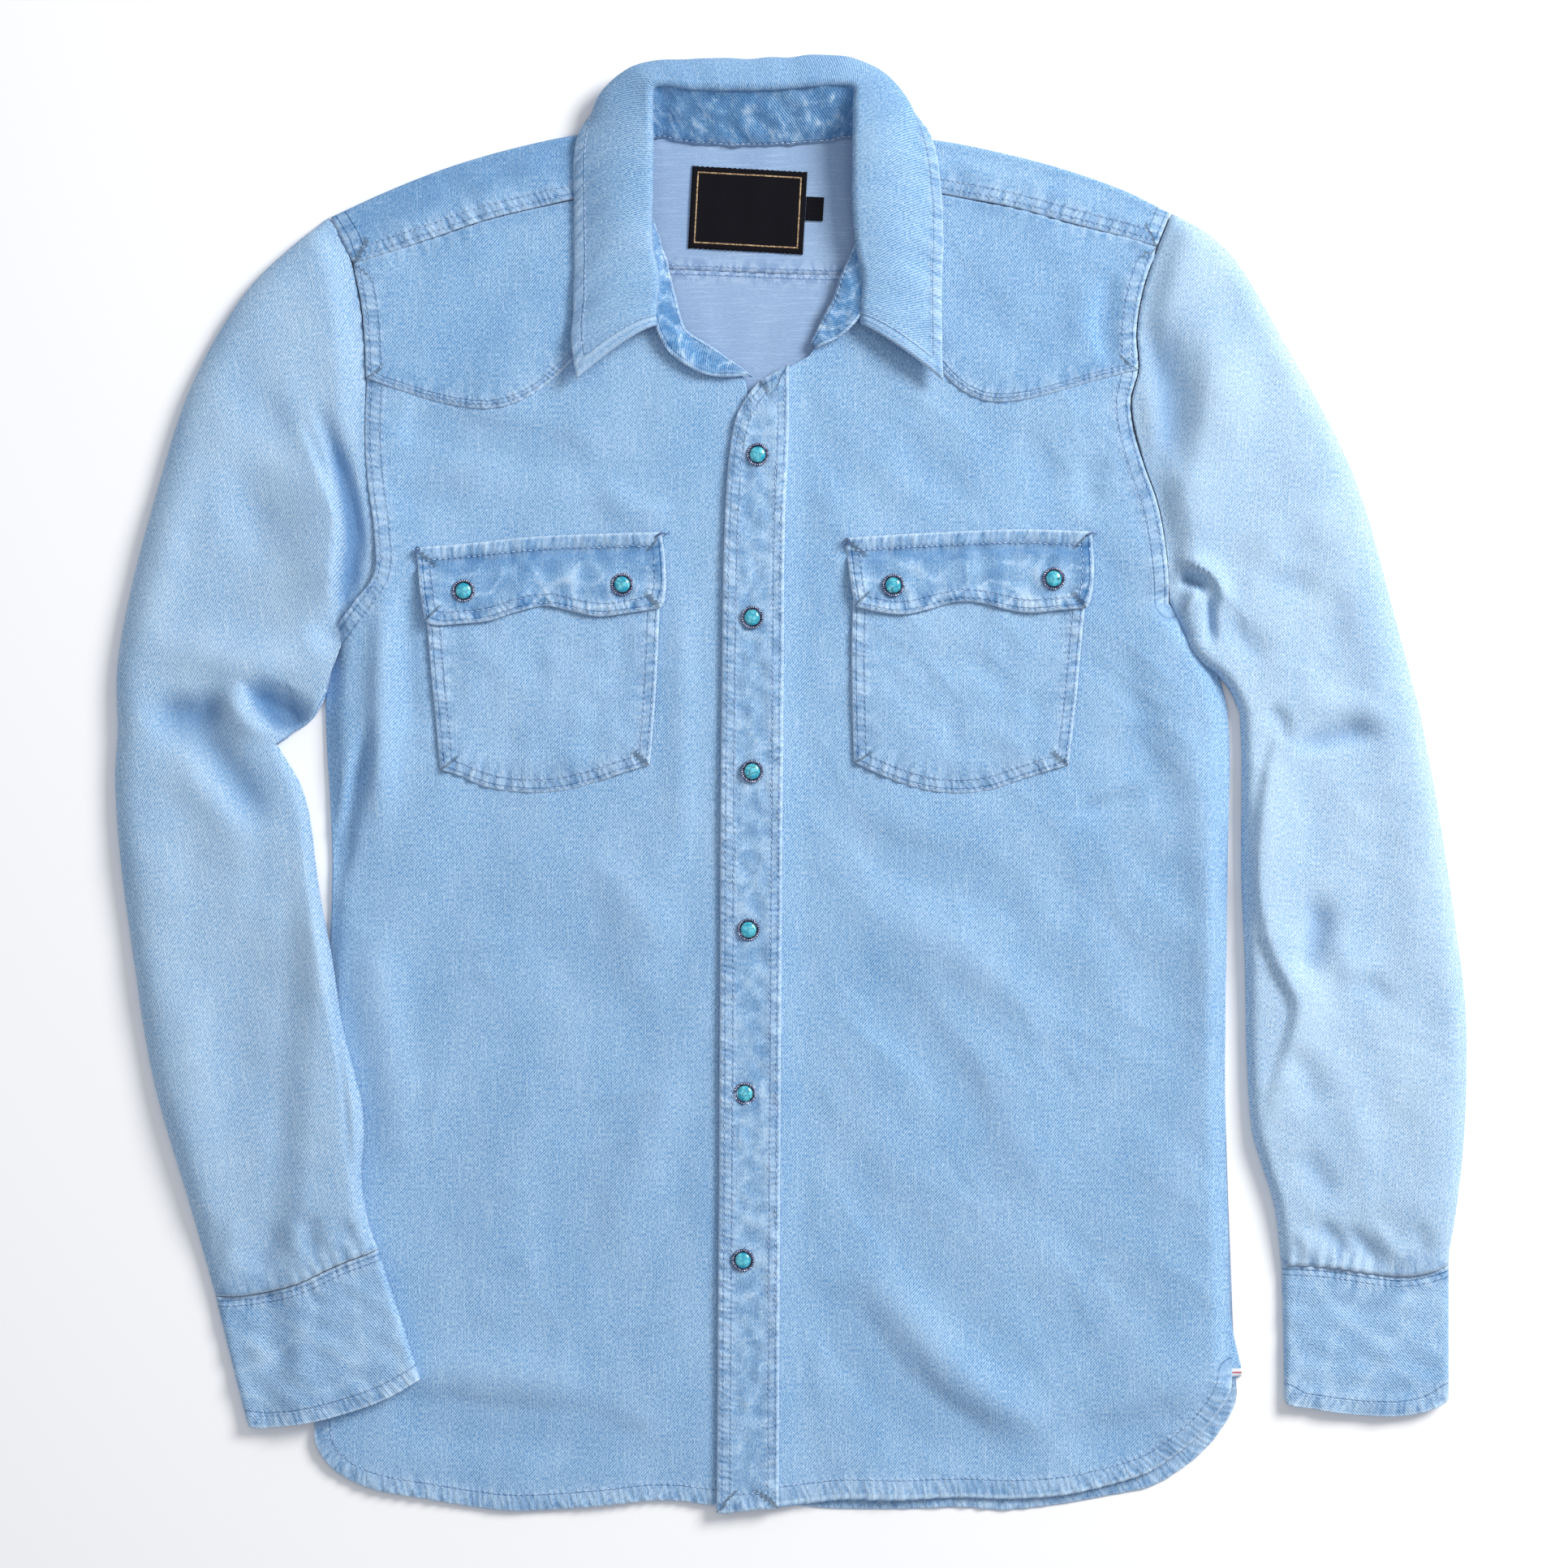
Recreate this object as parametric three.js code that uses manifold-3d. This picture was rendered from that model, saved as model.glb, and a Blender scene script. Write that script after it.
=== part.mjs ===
// A long-sleeved denim western shirt, laid out flat on its back with the neck open.
// Millimetres, +X towards the wearer's left sleeve, +Y towards the collar, +Z up off the surface.
import * as THREE from 'three';
import { mergeVertices } from 'three/addons/utils/BufferGeometryUtils.js';
import Module from 'manifold-3d';

const wasm = await Module();
wasm.setup();

// Driving sizes
const wall = 1.5; // denim, with its seam allowances
const gap = 0.3; // between pieces that meet
const layer = wall + gap; // from one layer of cloth to the next
const collarWall = 2.2; // two layers and their interfacing
const shoulderHeight = 2 * layer + wall; // the yoke, rolled over the shoulder
const sleeveHeight = 6.4; // of a sleeve's flattened tube
const cuffWall = 1.6;
const cuffHeight = 5.2;
const snapRadius = 6;
const stoneRadius = 4.1;

const level = { back: 0, front: layer, onFront: 2 * layer, onPocket: 3 * layer };

const denim = { sky: 0x8db8de, pale: 0xa9c6e6, deep: 0x7aa9d4, label: 0x1b1c26, steel: 0x6e6a72 };

// ---------------------------------------------------------------- outlines

// A smooth run through its plan points, cut into equal lengths, or shorter ones at its start.
function run(points, count, ease = 1) {
  const stops = points.map(([x, y]) => new THREE.Vector3(x, y, 0));
  const curve = stops.length > 2
    ? new THREE.CatmullRomCurve3(stops, false, 'centripetal')
    : new THREE.LineCurve3(stops[0], stops[1]);
  return Array.from({ length: count + 1 }, (_, i) => curve.getPointAt((i / count) ** ease));
}

// Runs laid end to end, which meet at a corner.
function joined(...runs) {
  return runs.reduce((all, next) => all.concat(next.slice(1)));
}

// The same run, ended at another corner.
function endedAt(points, x, y) {
  return [...points.slice(0, -1), new THREE.Vector3(x, y, 0)];
}

function reversed(points) {
  return points.slice().reverse();
}

function moved(points, x, y) {
  return points.map((point) => new THREE.Vector3(point.x + x, point.y + y, point.z));
}

function smooth(low, high, value) {
  const t = Math.min(1, Math.max(0, (value - low) / (high - low)));
  return t * t * (3 - 2 * t);
}

function fractions(points) {
  const sums = [0];
  for (let i = 1; i < points.length; i += 1) {
    sums.push(sums[i - 1] + points[i].distanceTo(points[i - 1]));
  }
  return sums.map((sum) => sum / sums[sums.length - 1]);
}

// A grid of plan points inside four edges: rows run from bottom to top, columns from left to right.
function patch({ bottom, top, left, right }) {
  const [fb, ft, fl, fr] = [bottom, top, left, right].map(fractions);
  const last = { u: bottom.length - 1, v: left.length - 1 };
  return left.map((_, j) => bottom.map((__, i) => {
    const u = (fb[i] + ft[i]) / 2;
    const v = (fl[j] + fr[j]) / 2;
    const point = new THREE.Vector3();
    point.addScaledVector(bottom[i], 1 - v).addScaledVector(top[i], v);
    point.addScaledVector(left[j], 1 - u).addScaledVector(right[j], u);
    point.addScaledVector(bottom[0], -(1 - u) * (1 - v)).addScaledVector(bottom[last.u], -u * (1 - v));
    point.addScaledVector(top[0], -(1 - u) * v).addScaledVector(top[last.u], -u * v);
    return point;
  }));
}

// ---------------------------------------------------------------- solids

function signedVolume(positions, index) {
  const corner = [new THREE.Vector3(), new THREE.Vector3(), new THREE.Vector3()];
  let volume = 0;
  for (let i = 0; i < index.length; i += 3) {
    corner.forEach((vertex, k) => vertex.fromArray(positions, 3 * index[i + k]));
    volume += corner[0].dot(corner[1].cross(corner[2])) / 6;
  }
  return volume;
}

function closedGeometry(points, index) {
  const positions = points.flatMap((point) => [point.x, point.y, point.z]);
  if (signedVolume(positions, index) < 0) index.reverse();
  const geometry = new THREE.BufferGeometry();
  geometry.setAttribute('position', new THREE.Float32BufferAttribute(positions, 3));
  geometry.setIndex(index);
  return geometry;
}

// Two grids of the same size joined round their rims; a tube's rows close on themselves.
function shell(outer, inner, isTube = false) {
  const rows = outer.length;
  const columns = outer[0].length;
  const spans = isTube ? columns : columns - 1;
  const at = (side, j, i) => side * rows * columns + j * columns + (i % columns);
  const index = [];
  const quad = (a, b, c, d) => index.push(a, b, c, a, c, d);
  for (let j = 0; j < rows - 1; j += 1) {
    for (let i = 0; i < spans; i += 1) {
      quad(at(0, j, i), at(0, j, i + 1), at(0, j + 1, i + 1), at(0, j + 1, i));
      quad(at(1, j, i), at(1, j + 1, i), at(1, j + 1, i + 1), at(1, j, i + 1));
    }
    if (!isTube) {
      quad(at(0, j, 0), at(0, j + 1, 0), at(1, j + 1, 0), at(1, j, 0));
      quad(at(0, j + 1, spans), at(0, j, spans), at(1, j, spans), at(1, j + 1, spans));
    }
  }
  for (let i = 0; i < spans; i += 1) {
    quad(at(0, 0, i + 1), at(0, 0, i), at(1, 0, i), at(1, 0, i + 1));
    quad(at(0, rows - 1, i), at(0, rows - 1, i + 1), at(1, rows - 1, i + 1), at(1, rows - 1, i));
  }
  return closedGeometry([...outer.flat(), ...inner.flat()], index);
}

// A flat-lying piece of cloth: under(x, y) is the height of its lower face.
function cloth(grid, under, thickness = wall) {
  const raise = (extra) => grid.map((row) => row.map(({ x, y }) => (
    new THREE.Vector3(x, y, under(x, y) + extra))));
  return shell(raise(thickness), raise(0));
}

// A tube pressed flat: rows across it, each from its outer to its inner edge.
function pressedTube(grid, under, rise, thickness) {
  const ring = (row, inset) => {
    const last = row.length - 1;
    const low = ({ x, y }) => under(x, y) + inset;
    const high = ({ x, y }) => under(x, y) + rise(x, y) - inset;
    const rim = (edge, next) => {
      const toward = next.clone().sub(edge).normalize();
      const radius = rise(edge.x, edge.y) / 2;
      const middle = under(edge.x, edge.y) + radius;
      return [[0, 0], [0.3, 0.72], [1, 1]].map(([inward, lift]) => {
        const spot = edge.clone().addScaledVector(toward, inset + inward * (radius - inset));
        return { spot, lift: lift * (radius - inset), middle };
      });
    };
    const start = rim(row[0], row[1]);
    const end = rim(row[last], row[last - 1]);
    const place = ({ spot, lift, middle }, side) => (
      new THREE.Vector3(spot.x, spot.y, middle + side * lift));
    const inside = row.slice(1, last);
    return [
      ...start.map((stop) => place(stop, 1)),
      ...inside.map((point) => new THREE.Vector3(point.x, point.y, high(point))),
      ...reversed(end).map((stop) => place(stop, 1)),
      ...end.slice(1).map((stop) => place(stop, -1)),
      ...reversed(inside).map((point) => new THREE.Vector3(point.x, point.y, low(point))),
      ...reversed(start.slice(1)).map((stop) => place(stop, -1)),
    ];
  };
  return shell(grid.map((row) => ring(row, 0)), grid.map((row) => ring(row, thickness)), true);
}

// A curved sheet: half its thickness to each side of its middle surface.
function curvedSheet(grid, thickness) {
  const normal = (j, i) => {
    const across = grid[j][Math.min(i + 1, grid[j].length - 1)].clone().sub(grid[j][Math.max(i - 1, 0)]);
    const along = grid[Math.min(j + 1, grid.length - 1)][i].clone().sub(grid[Math.max(j - 1, 0)][i]);
    return across.cross(along).normalize();
  };
  const side = (offset) => grid.map((row, j) => row.map((point, i) => {
    const spot = point.clone().addScaledVector(normal(j, i), offset);
    spot.z = Math.max(0, spot.z);
    return spot;
  }));
  return shell(side(thickness / 2), side(-thickness / 2));
}

function asSolid(geometry) {
  const bare = new THREE.BufferGeometry();
  bare.setAttribute('position', geometry.getAttribute('position'));
  bare.setIndex(geometry.getIndex());
  const merged = mergeVertices(bare, 1e-3);
  return new wasm.Manifold(new wasm.Mesh({
    numProp: 3,
    vertProperties: new Float32Array(merged.getAttribute('position').array),
    triVerts: new Uint32Array(merged.getIndex().array),
  }));
}

function asGeometry(solid) {
  const { vertProperties, triVerts } = solid.getMesh();
  const geometry = new THREE.BufferGeometry();
  geometry.setAttribute('position', new THREE.Float32BufferAttribute(vertProperties, 3));
  geometry.setIndex(new THREE.Uint32BufferAttribute(triVerts, 1));
  return geometry;
}

const shirt = new THREE.Group();

function add(name, geometry, color, roughness = 0.9, metalness = 0) {
  geometry.computeVertexNormals();
  const mesh = new THREE.Mesh(geometry, new THREE.MeshStandardMaterial({ color, roughness, metalness }));
  mesh.name = name;
  shirt.add(mesh);
  return mesh;
}

// ---------------------------------------------------------------- seams that pieces share

// Right is the wearer's right, at -X. Each armhole runs up from the underarm to the shoulder.
const right = {
  sideSeam: run([[-261, -352], [-262, -310], [-259, -220], [-254, -120], [-251, -50], [-252, -10],
    [-254, 22], [-254.5, 48], [-252.5, 66], [-251, 82]], 12),
  armholeLow: run([[-251, 82], [-240, 100], [-230, 120], [-230, 142], [-232.5, 168], [-233, 196],
    [-232, 223]], 6),
  armholeMid: run([[-232, 223], [-233, 245], [-234.5, 262], [-238.8, 285]], 2),
  shoulderTip: new THREE.Vector3(-252, 312, 0),
  shoulderFold: run([[-252, 312], [-218, 327], [-184, 340], [-149, 350], [-118, 356], [-87, 360]], 7),
  shoulderSeam: run([[-238.8, 285], [-198, 299], [-165, 310], [-119, 321], [-87, 328]], 7),
  hem: run([[-261, -352], [-257, -368], [-242, -380], [-200, -390.5], [-154, -397], [-118, -394.5],
    [-77, -391.5], [-41, -394], [-20, -391.5]], 10),
};
const left = {
  sideSeam: run([[241, -324], [240, -265], [238, -163], [239, -40], [237, -14], [232, 21], [219, 58],
    [210, 85], [207, 100]], 12),
  armholeLow: run([[207, 100], [205, 128], [201, 152], [193, 174], [187, 200], [187, 215],
    [190, 227]], 6),
  armholeMid: run([[190, 227], [189, 249], [192.5, 271], [199.5, 294]], 2),
  shoulderTip: new THREE.Vector3(208, 314, 0),
  shoulderFold: run([[208, 314], [183, 327], [144, 339.5], [96, 351], [74, 354], [46, 357.5]], 7),
  shoulderSeam: run([[199.5, 294], [149, 309], [115, 318], [83, 324], [46, 330]], 7),
};

// ---------------------------------------------------------------- body

// The largest soft folds of the two fronts, each along a line, in plan.
const bodyFolds = [
  { from: [-230, 93], to: [-230, -10], width: 9, rise: 1.2 },
  { from: [-200, 196], to: [-110, 178], width: 11, rise: 1.4 },
  { from: [-200, -352], to: [-90, -350], width: 16, rise: 1.6 },
  { from: [10, -40], to: [110, -95], width: 18, rise: 1.6 },
  { from: [40, -120], to: [150, -200], width: 18, rise: 1.6 },
  { from: [20, -300], to: [90, -356], width: 18, rise: 1.7 },
];

function ridge({ from, to, width, rise }, x, y) {
  const [dx, dy] = [to[0] - from[0], to[1] - from[1]];
  const length2 = dx * dx + dy * dy;
  const t = Math.min(1, Math.max(0, ((x - from[0]) * dx + (y - from[1]) * dy) / length2));
  const away = Math.hypot(x - from[0] - t * dx, y - from[1] - t * dy);
  return rise * Math.exp(-((away / width) ** 2)) * (0.4 + 0.6 * Math.sin(Math.PI * (0.1 + 0.8 * t)));
}

function folds(table, x, y) {
  return table.reduce((sum, row) => sum + ridge(row, x, y), 0);
}

const rightFrontUnder = (x, y) => level.front + folds(bodyFolds, x, y) * smooth(-40, -60, x);
const leftFrontUnder = (x, y) => (
  level.front + layer * smooth(14, -8, x) + folds(bodyFolds, x, y) * smooth(2, 24, x));

const backColumns = 12;

// The back's hem shows below the left front's and stops just short of the right front's.
const backHem = run([[-259.5, -352], [-255, -366], [-240, -378], [-200, -388], [-154, -394],
  [-77, -390.5], [-10, -393], [60, -396.5], [117, -397], [175, -389], [215, -374], [243, -341],
  [241, -324]], backColumns);
const yokeSeam = [[-238.8, 285], [-150, 284], [-65, 283], [28, 280], [120, 282], [199.5, 294]];
const backGrid = patch({
  bottom: backHem,
  top: moved(run(yokeSeam, backColumns), 0, -2 * gap),
  left: joined(right.sideSeam, right.armholeLow, endedAt(right.armholeMid, -238.8, 285 - 2 * gap)),
  right: joined(left.sideSeam, left.armholeLow, endedAt(left.armholeMid, 199.5, 294 - 2 * gap)),
});
add('back_panel', cloth(backGrid, () => level.back), denim.pale);

// Each front runs up under its yoke to just short of the shoulder seam.
const rightNeck = run([[-88, 325], [-83, 305], [-76, 282], [-66, 262], [-50, 244], [-36, 232],
  [-25, 222]], 5);
const frontRight = patch({
  bottom: right.hem,
  top: joined(run([[-238.2, 281], [-165, 306], [-88, 325]], 5), rightNeck),
  left: joined(right.sideSeam, right.armholeLow, run([[-232, 223], [-234, 255], [-238.2, 281]], 2)),
  right: run([[-20, -391.5], [-17, 0], [-16, 120], [-19, 190], [-25, 222]], 20),
});
add('front_right', cloth(frontRight, rightFrontUnder), denim.sky);

const leftNeck = run([[-15, 219], [10, 236], [24, 258], [36, 285], [44, 310], [47, 326]], 5);
const frontLeft = patch({
  bottom: [...run([[-37, -394], [-4, -391.5]], 1), ...run([[12, -391], [51, -388.5], [128, -388],
    [188, -377], [224, -353], [240, -333], [241, -324]], 8)],
  top: joined(leftNeck, run([[47, 326], [115, 314.5], [199, 290]], 5)),
  left: run([[-37, -394], [-35.5, 30], [-33.5, 146], [-30, 188], [-15, 219]], 20),
  right: joined(left.sideSeam, left.armholeLow, run([[190, 227], [190, 255], [199, 290]], 2)),
});
add('front_left', cloth(frontLeft, leftFrontUnder), denim.sky);

const placketGrid = patch({
  bottom: run([[-40, -397], [-24, -396], [-6, -395]], 3),
  top: run([[-17, 221], [-8, 227], [-1, 231]], 3),
  left: joined(run([[-40, -397], [-39, -180], [-38, 30], [-36, 146]], 8),
    run([[-36, 146], [-33, 186], [-27, 207], [-17, 221]], 6)),
  right: joined(run([[-6, -395], [-5, -180], [-4, 30], [-3, 146]], 8), run([[-3, 146], [-1, 231]], 6)),
});
add('placket', cloth(placketGrid, () => level.onPocket), denim.sky);

// ---------------------------------------------------------------- yokes

// The back yoke lies under the neck and rolls over each shoulder to a seam on the chest.
function shoulderRoll({ shoulderFold, shoulderSeam }) {
  const radius = shoulderHeight / 2;
  const turn = [[1, -1], [0.3, -0.72], [0, 0], [0.3, 0.72], [1, 1]];
  const section = (inset, reach) => [
    [14, inset],
    ...turn.map(([inward, lift]) => (
      [inset + inward * (radius - inset), radius + lift * (radius - inset)])),
    [reach / 2, shoulderHeight - inset],
    [reach, shoulderHeight - inset],
  ];
  const side = (inset) => shoulderFold.map((fold, i) => {
    const across = shoulderSeam[i].clone().sub(fold);
    const reach = across.length();
    across.normalize();
    return section(inset, reach).map(([distance, height]) => (
      fold.clone().addScaledVector(across, distance).setZ(height)));
  });
  return shell(side(0), side(wall));
}

const inset = 5; // of the flat layer, inside the roll
const neckline = run([[-84, 356], [-77, 353.5], [-32, 350.5], [36.5, 354], [43, 356]], 8);
const yokeTop = [
  ...moved(right.shoulderFold, 3, -inset),
  ...neckline,
  ...moved(reversed(left.shoulderFold), -3, -inset),
];
const yokeGrid = patch({
  bottom: run(yokeSeam, yokeTop.length - 1),
  top: yokeTop,
  left: run([[-238.8, 285], [yokeTop[0].x, yokeTop[0].y]], 2),
  right: run([[199.5, 294], [yokeTop[yokeTop.length - 1].x, yokeTop[yokeTop.length - 1].y]], 2),
});
const backYoke = asSolid(cloth(yokeGrid, () => level.back))
  .add(asSolid(shoulderRoll(right)))
  .add(asSolid(shoulderRoll(left)));
add('back_yoke', asGeometry(backYoke), denim.pale);

// Each front yoke lies on its front; its lower edge swoops up to the neck.
const frontYokeRight = patch({
  bottom: run([[-232, 223], [-198, 211], [-168, 206], [-150, 210], [-119, 233], [-90, 262]], 7),
  top: moved(right.shoulderSeam, 0.1, -gap),
  left: endedAt(right.armholeMid, -238.7, 285 - gap),
  right: run([[-90, 262], [-89, 295], [-86.9, 328 - gap]], 2),
});
add('front_yoke_right', cloth(frontYokeRight, (x, y) => rightFrontUnder(x, y) + layer), denim.deep);

const frontYokeLeft = patch({
  bottom: run([[190, 227], [166, 221.5], [138, 213.5], [111, 210], [85, 224], [56, 262]], 7),
  top: moved(left.shoulderSeam, -0.1, -gap),
  left: endedAt(left.armholeMid, 199.4, 294 - gap),
  right: run([[56, 262], [50, 295], [45.9, 330 - gap]], 2),
});
add('front_yoke_left', cloth(frontYokeLeft, () => level.onFront), denim.deep);

// ---------------------------------------------------------------- pockets

function pocket({ top, bottom, left: leftEdge, right: rightEdge }) {
  return cloth(patch({
    bottom: run(bottom, 6),
    top: run(top, 6),
    left: run(leftEdge, 4),
    right: run(rightEdge, 4),
  }), () => level.onFront);
}

add('pocket_right', pocket({
  bottom: [[-191.5, 9], [-170, 0.5], [-139, -4], [-109, 0.5], [-77, 11.5]],
  top: [[-200, 118], [-71, 122]],
  left: [[-191.5, 9], [-196, 59], [-200, 118]],
  right: [[-77, 11.5], [-73, 54], [-71, 122]],
}), denim.sky);
add('pocket_left', pocket({
  bottom: [[34.5, 13.5], [62, 2.5], [92, -4], [122, 1], [152, 11.5]],
  top: [[35, 122], [163, 124]],
  left: [[34.5, 13.5], [33.5, 60], [35, 122]],
  right: [[152, 11.5], [157, 54], [163, 124]],
}), denim.sky);

// A flap is sewn to the front along its top and lies down over its pocket.
function flap({ top, bottom, left: leftEdge, right: rightEdge }) {
  return cloth(patch({
    bottom: run(bottom, 10),
    top: run(top, 10),
    left: run(leftEdge, 3),
    right: run(rightEdge, 3),
  }), () => level.onPocket);
}

add('flap_right', flap({
  bottom: [[-200, 89], [-185, 88], [-162, 91], [-147, 96.5], [-134, 98.5], [-120, 96.5], [-104, 93],
    [-85, 95.5], [-70, 98]],
  top: [[-205, 130], [-139, 136], [-69, 138.6]],
  left: [[-200, 89], [-203, 121], [-205, 130]],
  right: [[-70, 98], [-68, 120], [-69, 138.6]],
}), denim.sky);
add('flap_left', flap({
  bottom: [[35, 98], [48, 95], [63, 94], [80, 97], [97, 100.5], [113, 98], [130, 95], [148, 96],
    [162, 97]],
  top: [[30, 135.5], [95, 139.5], [165, 139]],
  left: [[35, 98], [31.5, 120], [30, 135.5]],
  right: [[162, 97], [165.5, 122], [165, 139]],
}), denim.sky);

// ---------------------------------------------------------------- sleeves and cuffs

const tubeColumns = 9;

// From the outer edge to the inner one along the armhole, set off from the body by the seam's gap.
function armholeEnd({ shoulderTip, armholeMid, armholeLow }, away) {
  const tip = [shoulderTip, ...reversed(armholeMid)];
  const low = reversed(armholeLow).slice(1);
  return moved([...tip, ...low], away, 0);
}

// The right forearm and cuff lie over the edge of the body.
const bodyEdge = (y) => (y > -50 ? -251 : -251 - 11 * smooth(-50, -330, y));
const rightUnder = (x, y) => (
  (2 * layer + 0.3) * smooth(-30, -78, y) * smooth(bodyEdge(y) - 34, bodyEdge(y) - 10, x));
const leftUnder = () => 0;

const rightSleeveFolds = [
  { from: [-352, 52], to: [-305, 66], width: 12, rise: 4 },
  { from: [-345, 20], to: [-290, -22], width: 14, rise: 3 },
  { from: [-262, 190], to: [-262, 110], width: 11, rise: 3.4 },
  { from: [-300, -230], to: [-255, -225], width: 12, rise: 1.5 },
];
const leftSleeveFolds = [
  { from: [228, 200], to: [222, 140], width: 12, rise: 3.6 },
  { from: [250, 130], to: [300, 158], width: 12, rise: 2 },
  { from: [266, 40], to: [335, 42], width: 12, rise: 3 },
  { from: [285, -80], to: [300, -150], width: 14, rise: 2.6 },
  { from: [300, -235], to: [340, -240], width: 10, rise: 1.6 },
];

function sleeveRise(table) {
  const tapered = (y) => sleeveHeight - (sleeveHeight - cuffHeight) * smooth(-200, -262, y);
  return (x, y) => tapered(y) + folds(table, x, y);
}

const rightSleeveEnd = armholeEnd(right, -2 * gap - 0.3);
const leftSleeveEnd = armholeEnd(left, gap + 0.1);
const rightCuffSeam = run([[-315, -279], [-295, -277.5], [-272, -272], [-248, -261], [-226, -253]],
  tubeColumns);
const leftCuffSeam = run([[360.5, -262], [335.5, -268], [300, -265.5], [269, -262]], tubeColumns);

const rightSleeve = patch({
  bottom: rightSleeveEnd,
  top: rightCuffSeam,
  left: joined(run([[-252.9, 312], [-298, 271], [-327, 222], [-349, 155], [-364.5, 93], [-369, 50]], 8),
    run([[-369, 50], [-370, 4], [-367, -41], [-360, -94], [-349, -161], [-327, -236.5], [-315, -279]], 10)),
  right: joined(run([[-251.9, 82], [-255, 66], [-260, 48], [-268, 34], [-281, 25]], 8, 1.7),
    run([[-281, 25], [-269, 3], [-264, -14], [-259, -50], [-251, -94], [-242, -145], [-234, -180],
      [-234, -215], [-226, -253]], 10)),
});
add('sleeve_right', pressedTube(rightSleeve, rightUnder, sleeveRise(rightSleeveFolds), 1.4), denim.sky);

const leftSleeve = patch({
  bottom: leftSleeveEnd,
  top: leftCuffSeam,
  left: joined(run([[208.4, 314], [243, 289], [270, 244], [299, 191], [313, 158], [326, 112],
    [335.5, 76], [346, 37]], 8), run([[346, 37], [355, -14], [365, -81], [370, -125], [369, -192],
    [363, -254], [360.5, -262]], 10)),
  right: joined(run([[207.4, 100], [214, 87], [221, 73], [232, 63], [245, 46]], 8, 1.7),
    run([[245, 46], [248, 15], [247.5, -50], [249, -100], [251, -160], [258, -207], [265, -232],
      [269, -262]], 10)),
});
add('sleeve_left', pressedTube(leftSleeve, leftUnder, sleeveRise(leftSleeveFolds), 1.4), denim.sky);

const cuffRise = () => cuffHeight;
const rightCuff = patch({
  bottom: moved(rightCuffSeam, 0.05, -gap - 0.1),
  top: run([[-297, -351], [-263, -348], [-230, -339], [-202, -324]], tubeColumns),
  left: run([[-314.95, -279.4], [-306, -318], [-297, -351]], 5),
  right: run([[-225.95, -253.4], [-214, -288], [-202, -324]], 5),
});
add('cuff_right', pressedTube(rightCuff, rightUnder, cuffRise, cuffWall), denim.sky);

const leftCuff = patch({
  bottom: moved(leftCuffSeam, 0, -gap - 0.1),
  top: run([[360.5, -336], [339, -344.5], [305, -343.5], [271, -337]], tubeColumns),
  left: run([[360.5, -262.4], [360.5, -336]], 5),
  right: run([[269, -262.4], [271, -337]], 5),
});
add('cuff_left', pressedTube(leftCuff, leftUnder, cuffRise, cuffWall), denim.sky);

// ---------------------------------------------------------------- collar

function vector([x, y, z]) {
  return new THREE.Vector3(x, y, z);
}

// Sections from a table become a grid, smooth from one section to the next.
function lofted(sections, perSection) {
  const columns = sections[0].map((_, i) => {
    const points = sections.map((section) => section[i]);
    const curve = new THREE.CatmullRomCurve3(points, false, 'centripetal');
    const stops = perSection * (sections.length - 1);
    return Array.from({ length: stops + 1 }, (__, j) => curve.getPoint(j / stops));
  });
  return columns[0].map((_, j) => columns.map((column) => column[j]));
}

// The leaf turns over at its fold, bends, and falls to its outer edge.
const leafSections = [
  { fold: [-76.5, 250, 13], bend: [-94, 240, 17], edge: [-116, 222, 13] },
  { fold: [-76, 262, 13.5], bend: [-98, 255, 16], edge: [-119, 242, 10] },
  { fold: [-75, 277, 14], bend: [-97, 275, 16], edge: [-118.5, 265, 8] },
  { fold: [-78.5, 294, 15], bend: [-97, 292, 17], edge: [-118, 290, 6.8] },
  { fold: [-78.5, 320, 18], bend: [-98, 320, 19], edge: [-118, 316, 6.8] },
  { fold: [-78, 348, 21], bend: [-100, 354, 20], edge: [-115.5, 357, 7] },
  { fold: [-78, 370, 23.5], bend: [-113, 382, 15], edge: [-102, 369, 3] },
  { fold: [-76, 381, 24.5], bend: [-98, 403, 15], edge: [-80, 372, 1.2] },
  { fold: [-52, 381.5, 24.5], bend: [-53, 415, 13], edge: [-52, 366, 1.2] },
  { fold: [-10, 381.5, 24.5], bend: [-10, 416.5, 13], edge: [-10, 365, 1.2] },
  { fold: [22, 383, 24.5], bend: [23, 417.5, 13], edge: [22, 366, 1.2] },
  { fold: [36, 381, 24.5], bend: [56, 403, 15], edge: [40, 371, 1.2] },
  { fold: [37, 370, 23.5], bend: [72, 380, 15], edge: [62, 368, 3] },
  { fold: [37, 348, 21], bend: [58, 354, 20], edge: [76, 355.5, 7] },
  { fold: [37, 320, 18], bend: [59, 320, 19], edge: [83, 316, 6.8] },
  { fold: [39, 294, 15], bend: [61, 292, 17], edge: [83, 290, 6.8] },
  { fold: [42.5, 277, 14], bend: [62, 273, 16], edge: [82.3, 265, 8] },
  { fold: [41.5, 262, 13.5], bend: [62, 254, 16], edge: [82.5, 242, 10] },
  { fold: [41.5, 251, 13], bend: [61, 238, 17], edge: [83, 221.5, 13] },
];
const leafGrid = lofted(leafSections.map(({ fold, bend, edge }) => (
  new THREE.QuadraticBezierCurve3(vector(fold), vector(bend), vector(edge)).getPoints(5))), 2);
add('collar', curvedSheet(leafGrid, collarWall), denim.pale);

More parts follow.
